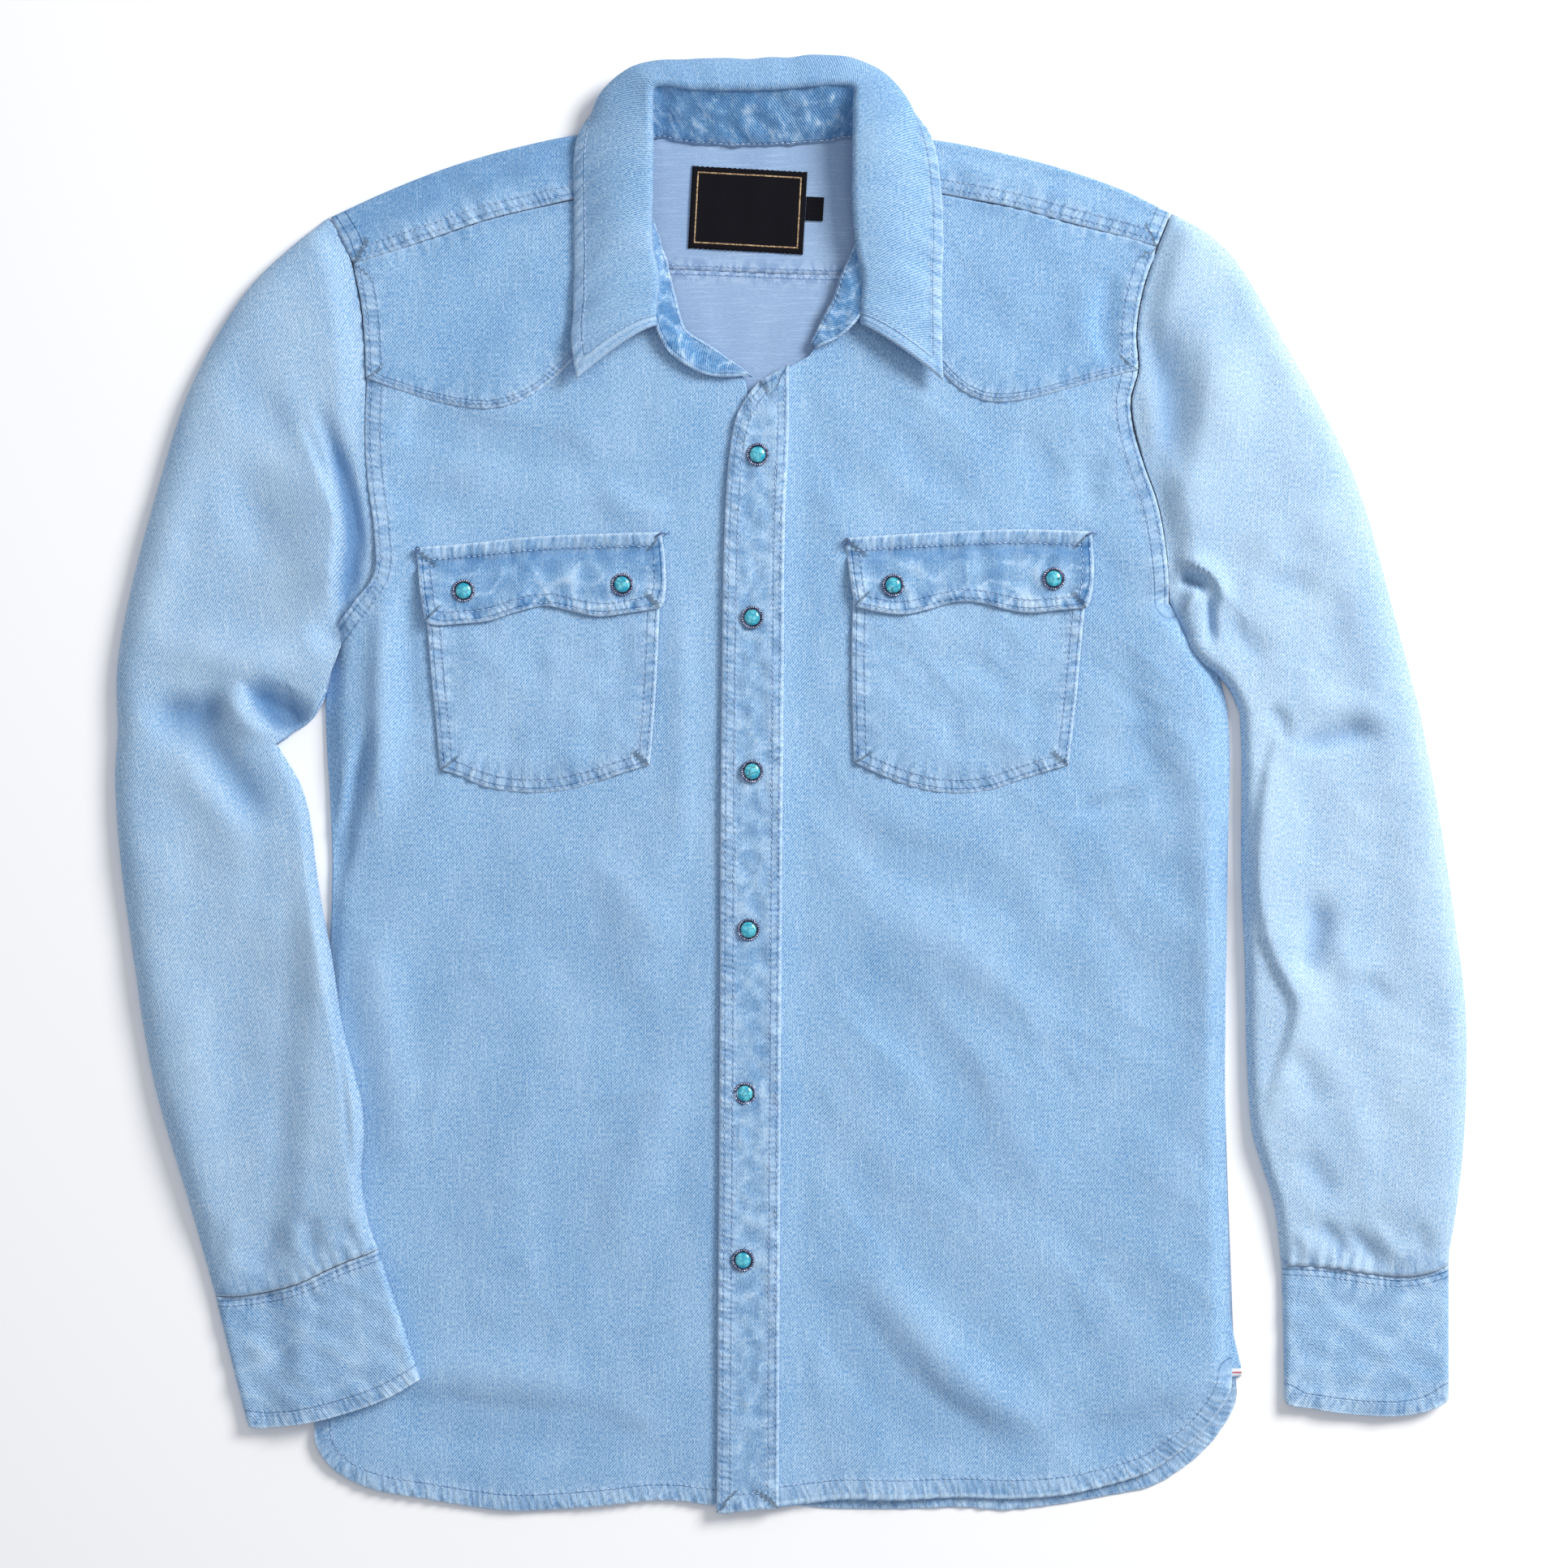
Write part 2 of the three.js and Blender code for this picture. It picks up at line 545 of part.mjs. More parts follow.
// The stand rises from the neck seam to just inside the fold; its right end flops over the front.
const standSections = [
  { seam: [-21, 224.6, 5.0], top: [-25, 225.2, 6.0] },
  { seam: [-34, 236, 5.0], top: [-36, 225, 7] },
  { seam: [-46, 243, 5.2], top: [-51, 227, 8] },
  { seam: [-57, 250, 5.6], top: [-66, 239, 9] },
  { seam: [-63, 268, 6.0], top: [-72.5, 254, 10.2] },
  { seam: [-68, 288, 6.0], top: [-71.5, 275, 11] },
  { seam: [-74, 306, 6.0], top: [-75, 294, 12] },
  { seam: [-80, 322, 6.0], top: [-76, 318, 14] },
  { seam: [-82, 338, 6.0], top: [-75.5, 340, 16.5] },
  { seam: [-80, 351, 6.0], top: [-75, 358, 19] },
  { seam: [-73, 354.5, 2.6], top: [-73.5, 377.5, 21] },
  { seam: [-50, 352, 2.6], top: [-50, 378.5, 21] },
  { seam: [-20, 351, 2.6], top: [-20, 378, 21] },
  { seam: [18, 352.5, 2.6], top: [18, 379.5, 21] },
  { seam: [33, 354.5, 2.6], top: [33, 378, 21] },
  { seam: [41, 350, 6.0], top: [34.5, 358, 19] },
  { seam: [44, 337, 6.0], top: [34.5, 340, 16.5] },
  { seam: [43, 318, 6.0], top: [35, 318, 14] },
  { seam: [37, 300, 6.0], top: [36.5, 294, 12] },
  { seam: [29, 283, 6.0], top: [39, 276, 11] },
  { seam: [22, 264, 6.0], top: [38.5, 262, 10.2] },
  { seam: [15, 251, 6.4], top: [29, 248, 9] },
  { seam: [11.5, 243, 6.4], top: [14, 240, 7.4] },
];
const standGrid = lofted(standSections.map(({ seam, top }) => (
  new THREE.LineCurve3(vector(seam), vector(top)).getPoints(2))), 1);
add('collar_stand', curvedSheet(standGrid, 2), denim.deep);

// ---------------------------------------------------------------- label, gussets and snaps

const label = { width: 63, height: 45, x: -23.5, y: 315.5, tilt: -0.055, thickness: 1 };
const labelBox = new THREE.BoxGeometry(label.width, label.height, label.thickness);
const labelMesh = add('label', labelBox, denim.label);
labelMesh.position.set(label.x, label.y, layer + label.thickness / 2);
labelMesh.rotation.z = label.tilt;

const tab = { width: 9.6, height: 12.5, x: 13.4, y: 314.5 };
const tabBox = new THREE.BoxGeometry(tab.width, tab.height, label.thickness);
const tabMesh = add('size_tab', tabBox, denim.label);
tabMesh.position.set(tab.x, tab.y, layer + label.thickness / 2);
tabMesh.rotation.z = label.tilt;

// A small triangle of selvedge closes each side slit, between front and back.
function gusset(corners) {
  const shape = new THREE.Shape(corners.map(([x, y]) => new THREE.Vector2(x, y)));
  return new THREE.ExtrudeGeometry(shape, { depth: 2, bevelEnabled: false });
}
add('gusset_left', gusset([[240.8, -292], [247.2, -316], [247, -322], [241.6, -322]]), denim.pale);
add('gusset_right', gusset([[-262.4, -322], [-267.4, -322], [-267.6, -316], [-261.6, -292]]), denim.pale);

// A pearl snap's cap: a rolled rim with a domed stone set in it.
const rimProfile = [[4.4, 0], [5.6, 0], [snapRadius, 0.9], [5.4, 2.1], [4.7, 2.1], [4.4, 1.5], [4.4, 0]];
const stoneProfile = [[0, 0], [stoneRadius, 0], [stoneRadius, 1.1], [3, 2.2], [1.5, 2.75],
  [0, 2.9]];

function lathe(profile, x, y, z, name, color, roughness, metalness) {
  const turned = new THREE.LatheGeometry(profile.map(([r, h]) => new THREE.Vector2(r, h)), 12);
  turned.rotateX(Math.PI / 2);
  const mesh = add(name, turned, color, roughness, metalness);
  mesh.position.set(x, y, z);
}

const snapRows = [
  { name: 'front_1', x: -18, y: 181 },
  { name: 'front_2', x: -21, y: 92 },
  { name: 'front_3', x: -21, y: 8 },
  { name: 'front_4', x: -23, y: -78.5 },
  { name: 'front_5', x: -25, y: -168 },
  { name: 'front_6', x: -26, y: -259 },
  { name: 'flap_right_1', x: -178.5, y: 106.5 },
  { name: 'flap_right_2', x: -92, y: 110 },
  { name: 'flap_left_1', x: 56, y: 109.5 },
  { name: 'flap_left_2', x: 143.5, y: 113 },
];
const snapFoot = level.onPocket + layer;
for (const { name, x, y } of snapRows) {
  lathe(rimProfile, x, y, snapFoot, `snap_rim_${name}`, denim.steel, 0.4, 0.9);
  lathe(stoneProfile, x, y, snapFoot, `snap_stone_${name}`, 0x2fb6c8, 0.2, 0);
}

export default shirt;
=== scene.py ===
import math
from functools import partial
import bpy
import numpy as np
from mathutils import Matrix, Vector


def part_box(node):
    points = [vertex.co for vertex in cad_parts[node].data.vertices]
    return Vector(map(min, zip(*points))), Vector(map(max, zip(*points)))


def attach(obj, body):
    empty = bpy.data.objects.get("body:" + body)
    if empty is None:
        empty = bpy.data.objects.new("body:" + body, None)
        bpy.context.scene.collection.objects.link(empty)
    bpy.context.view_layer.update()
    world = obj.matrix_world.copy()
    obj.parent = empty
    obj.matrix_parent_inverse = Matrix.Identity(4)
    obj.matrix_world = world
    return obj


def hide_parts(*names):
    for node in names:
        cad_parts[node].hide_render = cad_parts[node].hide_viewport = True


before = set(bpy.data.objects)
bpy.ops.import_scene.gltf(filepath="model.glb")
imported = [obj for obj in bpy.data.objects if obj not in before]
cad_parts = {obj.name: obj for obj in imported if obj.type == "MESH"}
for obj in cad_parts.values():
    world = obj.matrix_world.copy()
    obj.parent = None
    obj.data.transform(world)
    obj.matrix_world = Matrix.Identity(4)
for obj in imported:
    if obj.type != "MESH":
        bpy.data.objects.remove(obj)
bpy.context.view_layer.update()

mm = 0.001
layer = 1.8  # from one cloth to the next one up
wall = 1.4
roundRim = (0.5, 1.3)  # where the finer steps of a rounded edge lie
rng = np.random.default_rng(7)


# plan curves, in millimetres

def denseCurve(points, perSpan=16):  # a centripetal spline through the points
    p = np.array(points, float)
    if len(p) == 2:
        t = np.linspace(0, 1, perSpan + 1)[:, None]
        return p[0] * (1 - t) + p[1] * t
    p = np.vstack([2 * p[0] - p[1], p, 2 * p[-1] - p[-2]])
    out = []
    for i in range(1, len(p) - 2):
        a, b, c, d = p[i - 1], p[i], p[i + 1], p[i + 2]
        ab, bc, cd = (max(np.linalg.norm(q), 1e-6) ** 0.5 for q in (b - a, c - b, d - c))
        m1 = (b - a) / ab - (c - a) / (ab + bc) + (c - b) / bc
        m2 = (c - b) / bc - (d - b) / (bc + cd) + (d - c) / cd
        t = np.linspace(0, 1, perSpan, endpoint=False)[:, None]
        out.append((2 * t**3 - 3 * t**2 + 1) * b + (t**3 - 2 * t**2 + t) * bc * m1
                   + (3 * t**2 - 2 * t**3) * c + (t**3 - t**2) * bc * m2)
    out.append(p[-2][None, :])
    return np.vstack(out)


def chain(*runs):  # runs laid end to end, with a corner where they meet
    parts = [denseCurve(run) for run in runs]
    return np.vstack([parts[0]] + [part[1:] for part in parts[1:]])


def lengths(curve):
    return np.concatenate([[0], np.cumsum(np.linalg.norm(np.diff(curve, axis=0), axis=1))])


def resample(curve, fractions):
    s = lengths(curve)
    at = np.asarray(fractions) * s[-1]
    return np.stack([np.interp(at, s, curve[:, k]) for k in range(curve.shape[1])], axis=1)


def stops(length, step, rim):  # even steps, and two finer ones at each end for a round edge
    inner = np.linspace(rim[-1] * 2, length - rim[-1] * 2, max(2, int(round(length / step))))
    return np.concatenate([[0], rim, inner, length - np.array(rim[::-1]), [length]]) / length


def filled(b, t, l, r, u, v):  # a grid inside its bottom, top, left and right edges
    u, v = u[None, :, None], v[:, None, None]
    grid = (1 - v) * b[None] + v * t[None] + (1 - u) * l[:, None] + u * r[:, None]
    return grid - ((1 - u) * (1 - v) * b[0] + u * (1 - v) * b[-1] + (1 - u) * v * t[0] + u * v * t[-1])


def patch(bottom, top, left, right, step, rim=roundRim):  # the same, with points at even steps
    u = stops((lengths(bottom)[-1] + lengths(top)[-1]) / 2, step, rim)
    v = stops((lengths(left)[-1] + lengths(right)[-1]) / 2, step, rim)
    return filled(resample(bottom, u), resample(top, u), resample(left, v), resample(right, v), u, v)


def spread(grid, axis):  # the length run along one way of a grid
    steps = np.cumsum(np.linalg.norm(np.diff(grid, axis=axis), axis=2), axis=axis)
    return np.insert(steps, 0, 0, axis=axis)


def insetRun(curve, inset, trimStart, trimEnd):  # a curve moved to its left in plan, a point each mm
    s = lengths(curve)
    count = max(2, int(s[-1] - trimStart - trimEnd))
    at = np.linspace(trimStart, s[-1] - trimEnd, count) / s[-1]
    p = resample(curve[:, :2], at)
    d = np.gradient(p, axis=0)
    d /= np.linalg.norm(d, axis=1, keepdims=True)
    return p + inset * np.stack([-d[:, 1], d[:, 0]], axis=1)


# forms, all in millimetres over the plan

def smooth(low, high, value):
    t = np.clip((value - low) / (high - low), 0, 1)
    return t * t * (3 - 2 * t)


def waves(x, y, size, seed):  # smooth random hills, about -1 to 1
    count = 9
    local = np.random.default_rng(seed)
    out = np.zeros(np.broadcast(x, y).shape)
    for angle, phase, stretch in local.random((count, 3)):
        k = 2 * math.pi / (size * (0.7 + 0.7 * stretch))
        out += np.sin(k * (x * math.cos(6.283 * angle) + y * math.sin(6.283 * angle)) + 6.283 * phase)
    return out / math.sqrt(count * 0.9)


def nearest(x, y, curve):  # signed distance to a curve, left of it positive, and the length along it
    s = lengths(curve)
    best = np.full(np.shape(x), 1e9)
    side = np.ones(np.shape(x))
    along = np.zeros(np.shape(x))
    for i in range(len(curve) - 1):
        ax, ay = curve[i]
        dx, dy = curve[i + 1] - curve[i]
        size2 = max(dx * dx + dy * dy, 1e-9)
        t = np.clip(((x - ax) * dx + (y - ay) * dy) / size2, 0, 1)
        ex, ey = x - ax - t * dx, y - ay - t * dy
        d = ex * ex + ey * ey
        closer = d < best
        best = np.where(closer, d, best)
        side = np.where(closer, np.sign(dx * ey - dy * ex), side)
        along = np.where(closer, s[i] + t * math.sqrt(size2), along)
    return np.sqrt(best) * np.where(side == 0, 1, side), along, s[-1]


def fold(x, y, path, rise, left, right):
    # a soft ridge, or a trough where rise is negative, with its own width to each side of its path
    fade = 0.35  # share of its length in which each end dies away
    signed, along, total = nearest(x, y, resample(denseCurve(path, 6), np.linspace(0, 1, 4 * len(path))))
    width = np.where(signed > 0, left, right)
    t = along / total
    taper = smooth(0, fade, t) * smooth(0, fade, 1 - t)
    return rise * taper * np.exp(-(signed / width) ** 2)


def foldsOf(table, x, y):
    return sum(fold(x, y, *row) for row in table)


def crinkle(x, y, size, seed):  # thin raised lines, where starched cloth has been crushed
    lines = 1 - np.abs(waves(x, y, size, seed))
    return np.clip(lines, 0, 1) ** 4 * 1.5 - 0.42


def bumps(s, pitch, seed):  # uneven puckers along a seam, 0 to 1
    local = np.random.default_rng(seed)
    a, b, c = local.random(3) * 6.283
    warp = 1.3 * np.sin(s / (pitch * 1.9) + a) + 0.9 * np.sin(s / (pitch * 0.83) + b)
    lump = 0.5 + 0.5 * np.sin(2 * math.pi * s / pitch + warp)
    return lump * (0.55 + 0.45 * np.sin(s / (pitch * 2.7) + c))


def puckers(x, y, seams):
    # what every sewn line does to the cloth: its height, and how washed out its raised spots are
    height = np.zeros(np.shape(x))
    wash = np.zeros(np.shape(x))
    for number, seam in enumerate(seams):
        signed, along, _ = nearest(x, y, seam["curve"])
        d = np.abs(signed)
        lump = bumps(along + seam.get("slant", 0) * d, seam["pitch"], 11 + number + seam.get("seed", 0))
        band = np.exp(-(d / (seam["reach"] * (0.75 + 0.5 * bumps(along, 31, 5 + number)))) ** 2)
        height += 1.6 * seam["depth"] * (lump - 0.3) * band
        wash += seam.get("wash", 1) * (1.6 * lump - 0.66) * band
    return height, wash


def nearestSeam(x, y, seams):
    # length along the closest sewn edge, distance from it and its weight, then where its stitch rows lie
    best = np.full(np.shape(x), 60.0)
    out = np.zeros(np.shape(x) + (6,))
    out[..., 1] = 60
    for number, seam in enumerate(seams):
        signed, along, _ = nearest(x, y, seam["curve"])
        closer = np.abs(signed) < best
        best = np.where(closer, np.abs(signed), best)
        rows = list(seam.get("rows", (2.4, 6.6))) + [-9.0, -9.0]
        found = [along + 700 * number, best, seam.get("fade", 1.0) + 0 * best]
        found += [value + 0 * best for value in (rows[0], rows[1], max(rows))]
        out = np.where(closer[..., None], np.stack(found, axis=-1), out)
    return out


def seam(points, pitch, reach, depth, **more):
    curve = resample(points, np.linspace(0, 1, max(3, int(lengths(points)[-1] / 9))))
    return dict(curve=curve[:, :2], pitch=pitch, reach=reach, depth=depth, **more)


# meshes

def twice(values):  # the same for the upper grid and the lower one
    return np.concatenate([values, values])


def bothFaces(upper, lower):
    return np.concatenate([upper.reshape(-1, 3), lower.reshape(-1, 3)])


def newMesh(name, points, faces, uv=None, wash=None, seamAt=None, insideFaces=None):
    mesh = bpy.data.meshes.new(name)
    points = np.array(points, float)
    points[:, 2] = np.maximum(points[:, 2], 0)  # everything rests on the floor
    mesh.from_pydata((points * mm).tolist(), [], faces)
    if uv is not None:
        layerUv = mesh.uv_layers.new(name="cloth")
        loops = np.empty(len(mesh.loops), dtype=np.int64)
        mesh.loops.foreach_get("vertex_index", loops)
        layerUv.data.foreach_set("uv", (np.asarray(uv)[loops] * mm).astype(np.float32).ravel())
    if wash is not None:
        washAndShadeLayer = mesh.attributes.new("wash", "FLOAT", "POINT")
        washAndShadeLayer.data.foreach_set("value", np.asarray(wash, np.float32))
    if seamAt is not None:
        flat = np.asarray(seamAt, np.float32)
        for key, part in (("seam", flat[:, :3]), ("rows", flat[:, 3:])):
            mesh.attributes.new(key, "FLOAT_VECTOR", "POINT").data.foreach_set("vector", part.ravel())
    if insideFaces is not None:
        mesh.polygons.foreach_set("material_index", np.asarray(insideFaces, np.int32))
    mesh.polygons.foreach_set("use_smooth", np.ones(len(mesh.polygons), bool))
    mesh.update()
    corners = np.array([list(triangle.vertices) for triangle in mesh.loop_triangles])
    a, b, c = (points[corners[:, k]] for k in range(3))
    if np.einsum("ij,ij->i", a, np.cross(b, c)).sum() < 0:  # inside out
        mesh.flip_normals()
    piece = bpy.data.objects.new(name, mesh)
    bpy.context.collection.objects.link(piece)
    return piece


def shellFaces(rows, cols, isTube=False):
    # two grids, upper then lower, joined round their rims; returns the faces and which are of the lower one
    spans = cols if isTube else cols - 1
    j, i = np.meshgrid(np.arange(rows - 1), np.arange(spans), indexing="ij")
    a = (j * cols + i).ravel()
    b = (j * cols + (i + 1) % cols).ravel()
    c = ((j + 1) * cols + (i + 1) % cols).ravel()
    d = ((j + 1) * cols + i).ravel()
    upper = np.stack([a, b, c, d], axis=1)
    size = rows * cols
    lower = np.stack([a, d, c, b], axis=1) + size
    ends = []
    for k in range(spans):
        k2 = (k + 1) % cols
        last = (rows - 1) * cols
        ends.append([k2, k, k + size, k2 + size])
        ends.append([last + k, last + k2, last + k2 + size, last + k + size])
    if not isTube:
        for k in range(rows - 1):
            p, q = k * cols, (k + 1) * cols
            ends.append([p, q, q + size, p + size])
            ends.append([q + cols - 1, p + cols - 1, p + cols - 1 + size, q + cols - 1 + size])
    faces = np.vstack([upper, lower, np.array(ends)])
    isLower = np.concatenate([np.zeros(len(upper)), np.ones(len(lower)), np.zeros(len(ends))])
    return faces.tolist(), isLower


def rimDistance(grid):  # how far each point of a grid is from the piece's own edge
    across, down = spread(grid, 1), spread(grid, 0)
    return np.minimum.reduce([across, across[:, -1:] - across, down, down[-1:] - down])


def planArea(grid):  # square metres
    p = grid[1:, 1:] - grid[:-1, :-1]
    q = grid[1:, :-1] - grid[:-1, 1:]
    return float(np.abs(p[..., 0] * q[..., 1] - p[..., 1] * q[..., 0]).sum() / 2) * 1e-6


def flatPiece(name, grid, topOf, seams, thickness=wall, roundness=1.6, insideUp=False, fadeAndShadeOf=None):
    # a piece of cloth that lies over the plan: topOf(x, y) is the height of its upper face
    x, y = grid[..., 0], grid[..., 1]
    base = topOf(x, y)
    relief, wash = puckers(x, y, seams)
    # an optional function adds to the wash by place: real fading, and on some pieces the painted shade and
    # light of folds
    if fadeAndShadeOf:
        wash = wash + fadeAndShadeOf(x, y)
    rim = rimDistance(grid)
    drop = 0.62 * thickness * (1 - np.sqrt(1 - (1 - np.clip(rim / roundness, 0, 1)) ** 2))
    top = base + relief - drop
    under = base - thickness + np.minimum(relief, 0) * 0.5
    points = bothFaces(np.stack([x, y, top], -1), np.stack([x, y, under], -1))
    faces, isLower = shellFaces(*x.shape)
    inside = 1 - isLower if insideUp else isLower
    return newMesh(name, points, faces, twice(grid.reshape(-1, 2)), twice(wash.ravel()),
                   twice(nearestSeam(x, y, seams).reshape(-1, 6)), inside)


def gridNormals(grid):
    along = np.gradient(grid, axis=0)
    across = np.gradient(grid, axis=1)
    n = np.cross(across, along)
    return n / np.maximum(np.linalg.norm(n, axis=2, keepdims=True), 1e-9)


def curvedPiece(name, middle, thickness, relief, wash, seamAt, uv):
    # a sheet in space, half its thickness to each side; relief lifts its upper face
    n = gridNormals(middle)
    rim = rimDistance(middle)
    half = thickness / 2 * np.sqrt(1 - (1 - np.clip(rim / 1.4, 0, 1)) ** 2 * 0.8)
    upper = middle + n * (half + relief)[..., None]
    lower = middle - n * half[..., None]
    points = bothFaces(upper, lower)
    points[:, 2] = np.maximum(points[:, 2], 0.05)
    faces, isLower = shellFaces(*middle.shape[:2])
    piece = newMesh(name, points, faces, twice(uv.reshape(-1, 2)), twice(wash.ravel()),
                    twice(seamAt.reshape(-1, 6)), isLower)
    return piece, upper


def pressedTube(name, grid, underOf, riseOf, seams, thickness, radius, turn, fadeAndShadeOf):
    # a flattened tube: each row runs over its top from the outer to the inner edge, and back below
    x, y = grid[..., 0], grid[..., 1]
    across = spread(grid, 1)
    width = across[:, -1:]
    seatHeight = 2.2  # where the two walls meet along an edge
    relief, wash = puckers(x, y, seams)
    under = underOf(x, y)
    rise = np.maximum(riseOf(x, y, across / width), 2 * thickness + 0.6)
    # the function passed in adds real fading and the painted shade of the folds
    wash = wash + fadeAndShadeOf(x, y)

    def ring(inset):
        outer, inner = radius
        dome = np.minimum(np.sqrt(1 - (1 - np.clip(across / outer, 0, 1)) ** 2),
                          np.sqrt(1 - (1 - np.clip((width - across) / inner, 0, 1)) ** 2))
        skirt = np.sqrt(1 - (1 - np.clip(np.minimum(across, width - across) / 4.5, 0, 1)) ** 2)
        seat = under + seatHeight
        high = seat + (rise - seatHeight) * dome + relief * np.clip(dome * 1.2 - 0.2, 0, 1) - inset
        floor = seat - seatHeight * skirt + inset
        high = np.maximum(high, floor + 0.05 * (inset == 0) + 0.02)
        shrink = np.clip(across / 3, 0, 1) * np.clip((width - across) / 3, 0, 1)
        pull = inset * (1 - shrink)
        ux, uy = np.gradient(x, axis=1), np.gradient(y, axis=1)
        size = np.hypot(ux, uy)
        way = np.where(across < width / 2, 1, -1) * pull
        px, py = x + ux / size * way, y + uy / size * way
        top = np.stack([px, py, high], -1)
        bottom = np.stack([px, py, floor], -1)[:, ::-1][:, 1:-1]
        return np.concatenate([top, bottom], axis=1)

    outerRing, innerRing = ring(0.0), ring(thickness)
    faces, isLower = shellFaces(*outerRing.shape[:2], True)
    wrap = lambda a: np.concatenate([a, a[:, ::-1][:, 1:-1]], axis=1)
    c, s = math.cos(turn), math.sin(turn)
    uv = wrap(np.stack([x * c + y * s, y * c - x * s], -1)).reshape(-1, 2)
    seamAt = wrap(nearestSeam(x, y, seams)).reshape(-1, 6)
    piece = newMesh(name, bothFaces(outerRing, innerRing), faces, twice(uv), twice(wrap(wash).ravel()),
                    twice(seamAt), isLower)
    return piece, outerRing[:, :x.shape[1]]


# stitches, as short rounded threads laid along rows

stitchSize = dict(length=2.5, pitch=3.1, radius=0.26, sunk=0.12, raised=0.16, flatness=0.8)


def stitchMesh(name, rows):
    # every row is a path of points with the cloth's height under it
    sides = 5
    angles = np.arange(sides) * 2 * math.pi / sides
    ring = np.stack([np.cos(angles), np.sin(angles)], 1) * stitchSize["radius"]
    points, faces = [], []
    for path in rows:
        s = lengths(path)
        count = int(s[-1] / stitchSize["pitch"])
        if count < 1:
            continue
        mid = (np.arange(count) + 0.5) / count
        half = stitchSize["length"] / 2 / s[-1]
        a, c, b = (resample(path, np.clip(mid + k * half, 0, 1)) for k in (-1, 0, 1))
        along = b - a
        along /= np.maximum(np.linalg.norm(along, axis=1, keepdims=True), 1e-9)
        sideways = np.cross(np.array([0, 0, 1.0]), along)
        up = np.cross(along, sideways)
        jitter = rng.normal(0, 0.1, (count, 1))
        for k in range(count):
            start = len(points)
            shift = sideways[k] * jitter[k]
            points.append(a[k] + shift - up[k] * stitchSize["sunk"])
            for spot in (a[k] * 0.55 + c[k] * 0.45, b[k] * 0.55 + c[k] * 0.45):
                for q in ring:
                    above = q[1] * stitchSize["flatness"] + stitchSize["raised"]
                    points.append(spot + shift + sideways[k] * q[0] + up[k] * above)
            points.append(b[k] + shift - up[k] * stitchSize["sunk"])
            for m in range(sides):
                n = (m + 1) % sides
                faces.append([start, start + 1 + n, start + 1 + m])
                faces.append([start + 1 + m, start + 1 + n, start + 1 + sides + n, start + 1 + sides + m])
                faces.append([start + 1 + sides + m, start + 1 + sides + n, start + 1 + 2 * sides])
    finishPiece(newMesh(name, points, faces), [threadBlue])


def threadEnds(name, paths, material):  # loose ends of sewing thread
    radius, sides, count = 0.34, 6, 12
    turns = np.arange(sides) * math.pi / 3
    points, faces = [], []
    for path in paths:
        line = resample(denseCurve(path, 6), np.linspace(0, 1, count))
        along = np.gradient(line, axis=0)
        along /= np.linalg.norm(along, axis=1, keepdims=True)
        sideways = np.cross(np.array([0.1, 0.2, 1.0]), along)
        sideways /= np.linalg.norm(sideways, axis=1, keepdims=True)
        up = np.cross(along, sideways)
        start = len(points)
        for spot, a, b in zip(line, sideways, up):
            points += [spot + (a * math.cos(t) + b * math.sin(t)) * radius for t in turns]
        for j in range(count - 1):
            for m in range(sides):
                p, q = start + j * sides + m, start + j * sides + (m + 1) % sides
                faces.append([p, q, q + sides, p + sides])
        faces.append([start + m for m in range(sides - 1, -1, -1)])
        faces.append([start + (count - 1) * sides + m for m in range(sides)])
    finishPiece(newMesh(name, points, faces), [material])


def rowOn(topOf, plan, seams):  # a path over the plan, lifted to the face of its cloth
    x, y = plan[:, 0], plan[:, 1]
    return np.stack([x, y, topOf(x, y) + puckers(x, y, seams)[0]], axis=1)


# shader maths

class Wire:  # a socket that adds its own Math nodes
    def __init__(self, shader, socket):
        self.shader = shader
        self.socket = socket

    def math(self, operation, *others):
        inputs = dict(enumerate((self,) + others))
        return self.shader.node("ShaderNodeMath", {"operation": operation}, inputs)

    def __add__(self, other):
        return self.math("ADD", other)

    def __sub__(self, other):
        return self.math("SUBTRACT", other)

    def __mul__(self, other):
        return self.math("MULTIPLY", other)

    def __truediv__(self, other):
        return self.math("DIVIDE", other)

    def __rsub__(self, other):
        return self.math("MULTIPLY", -1.0) + other

    __radd__ = __add__
    __rmul__ = __mul__

    def sin(self):
        return self.math("SINE")

    def clamped(self):
        return self.shader.node("ShaderNodeClamp", {}, {0: self})

    def size(self):
        return self.math("ABSOLUTE")

    def between(self, low, high):  # 0 below low, 1 above high, eased
        return self.shader.node("ShaderNodeMapRange", {"interpolation_type": "SMOOTHSTEP"},
                                {0: self, 1: low, 2: high, 3: 0.0, 4: 1.0})


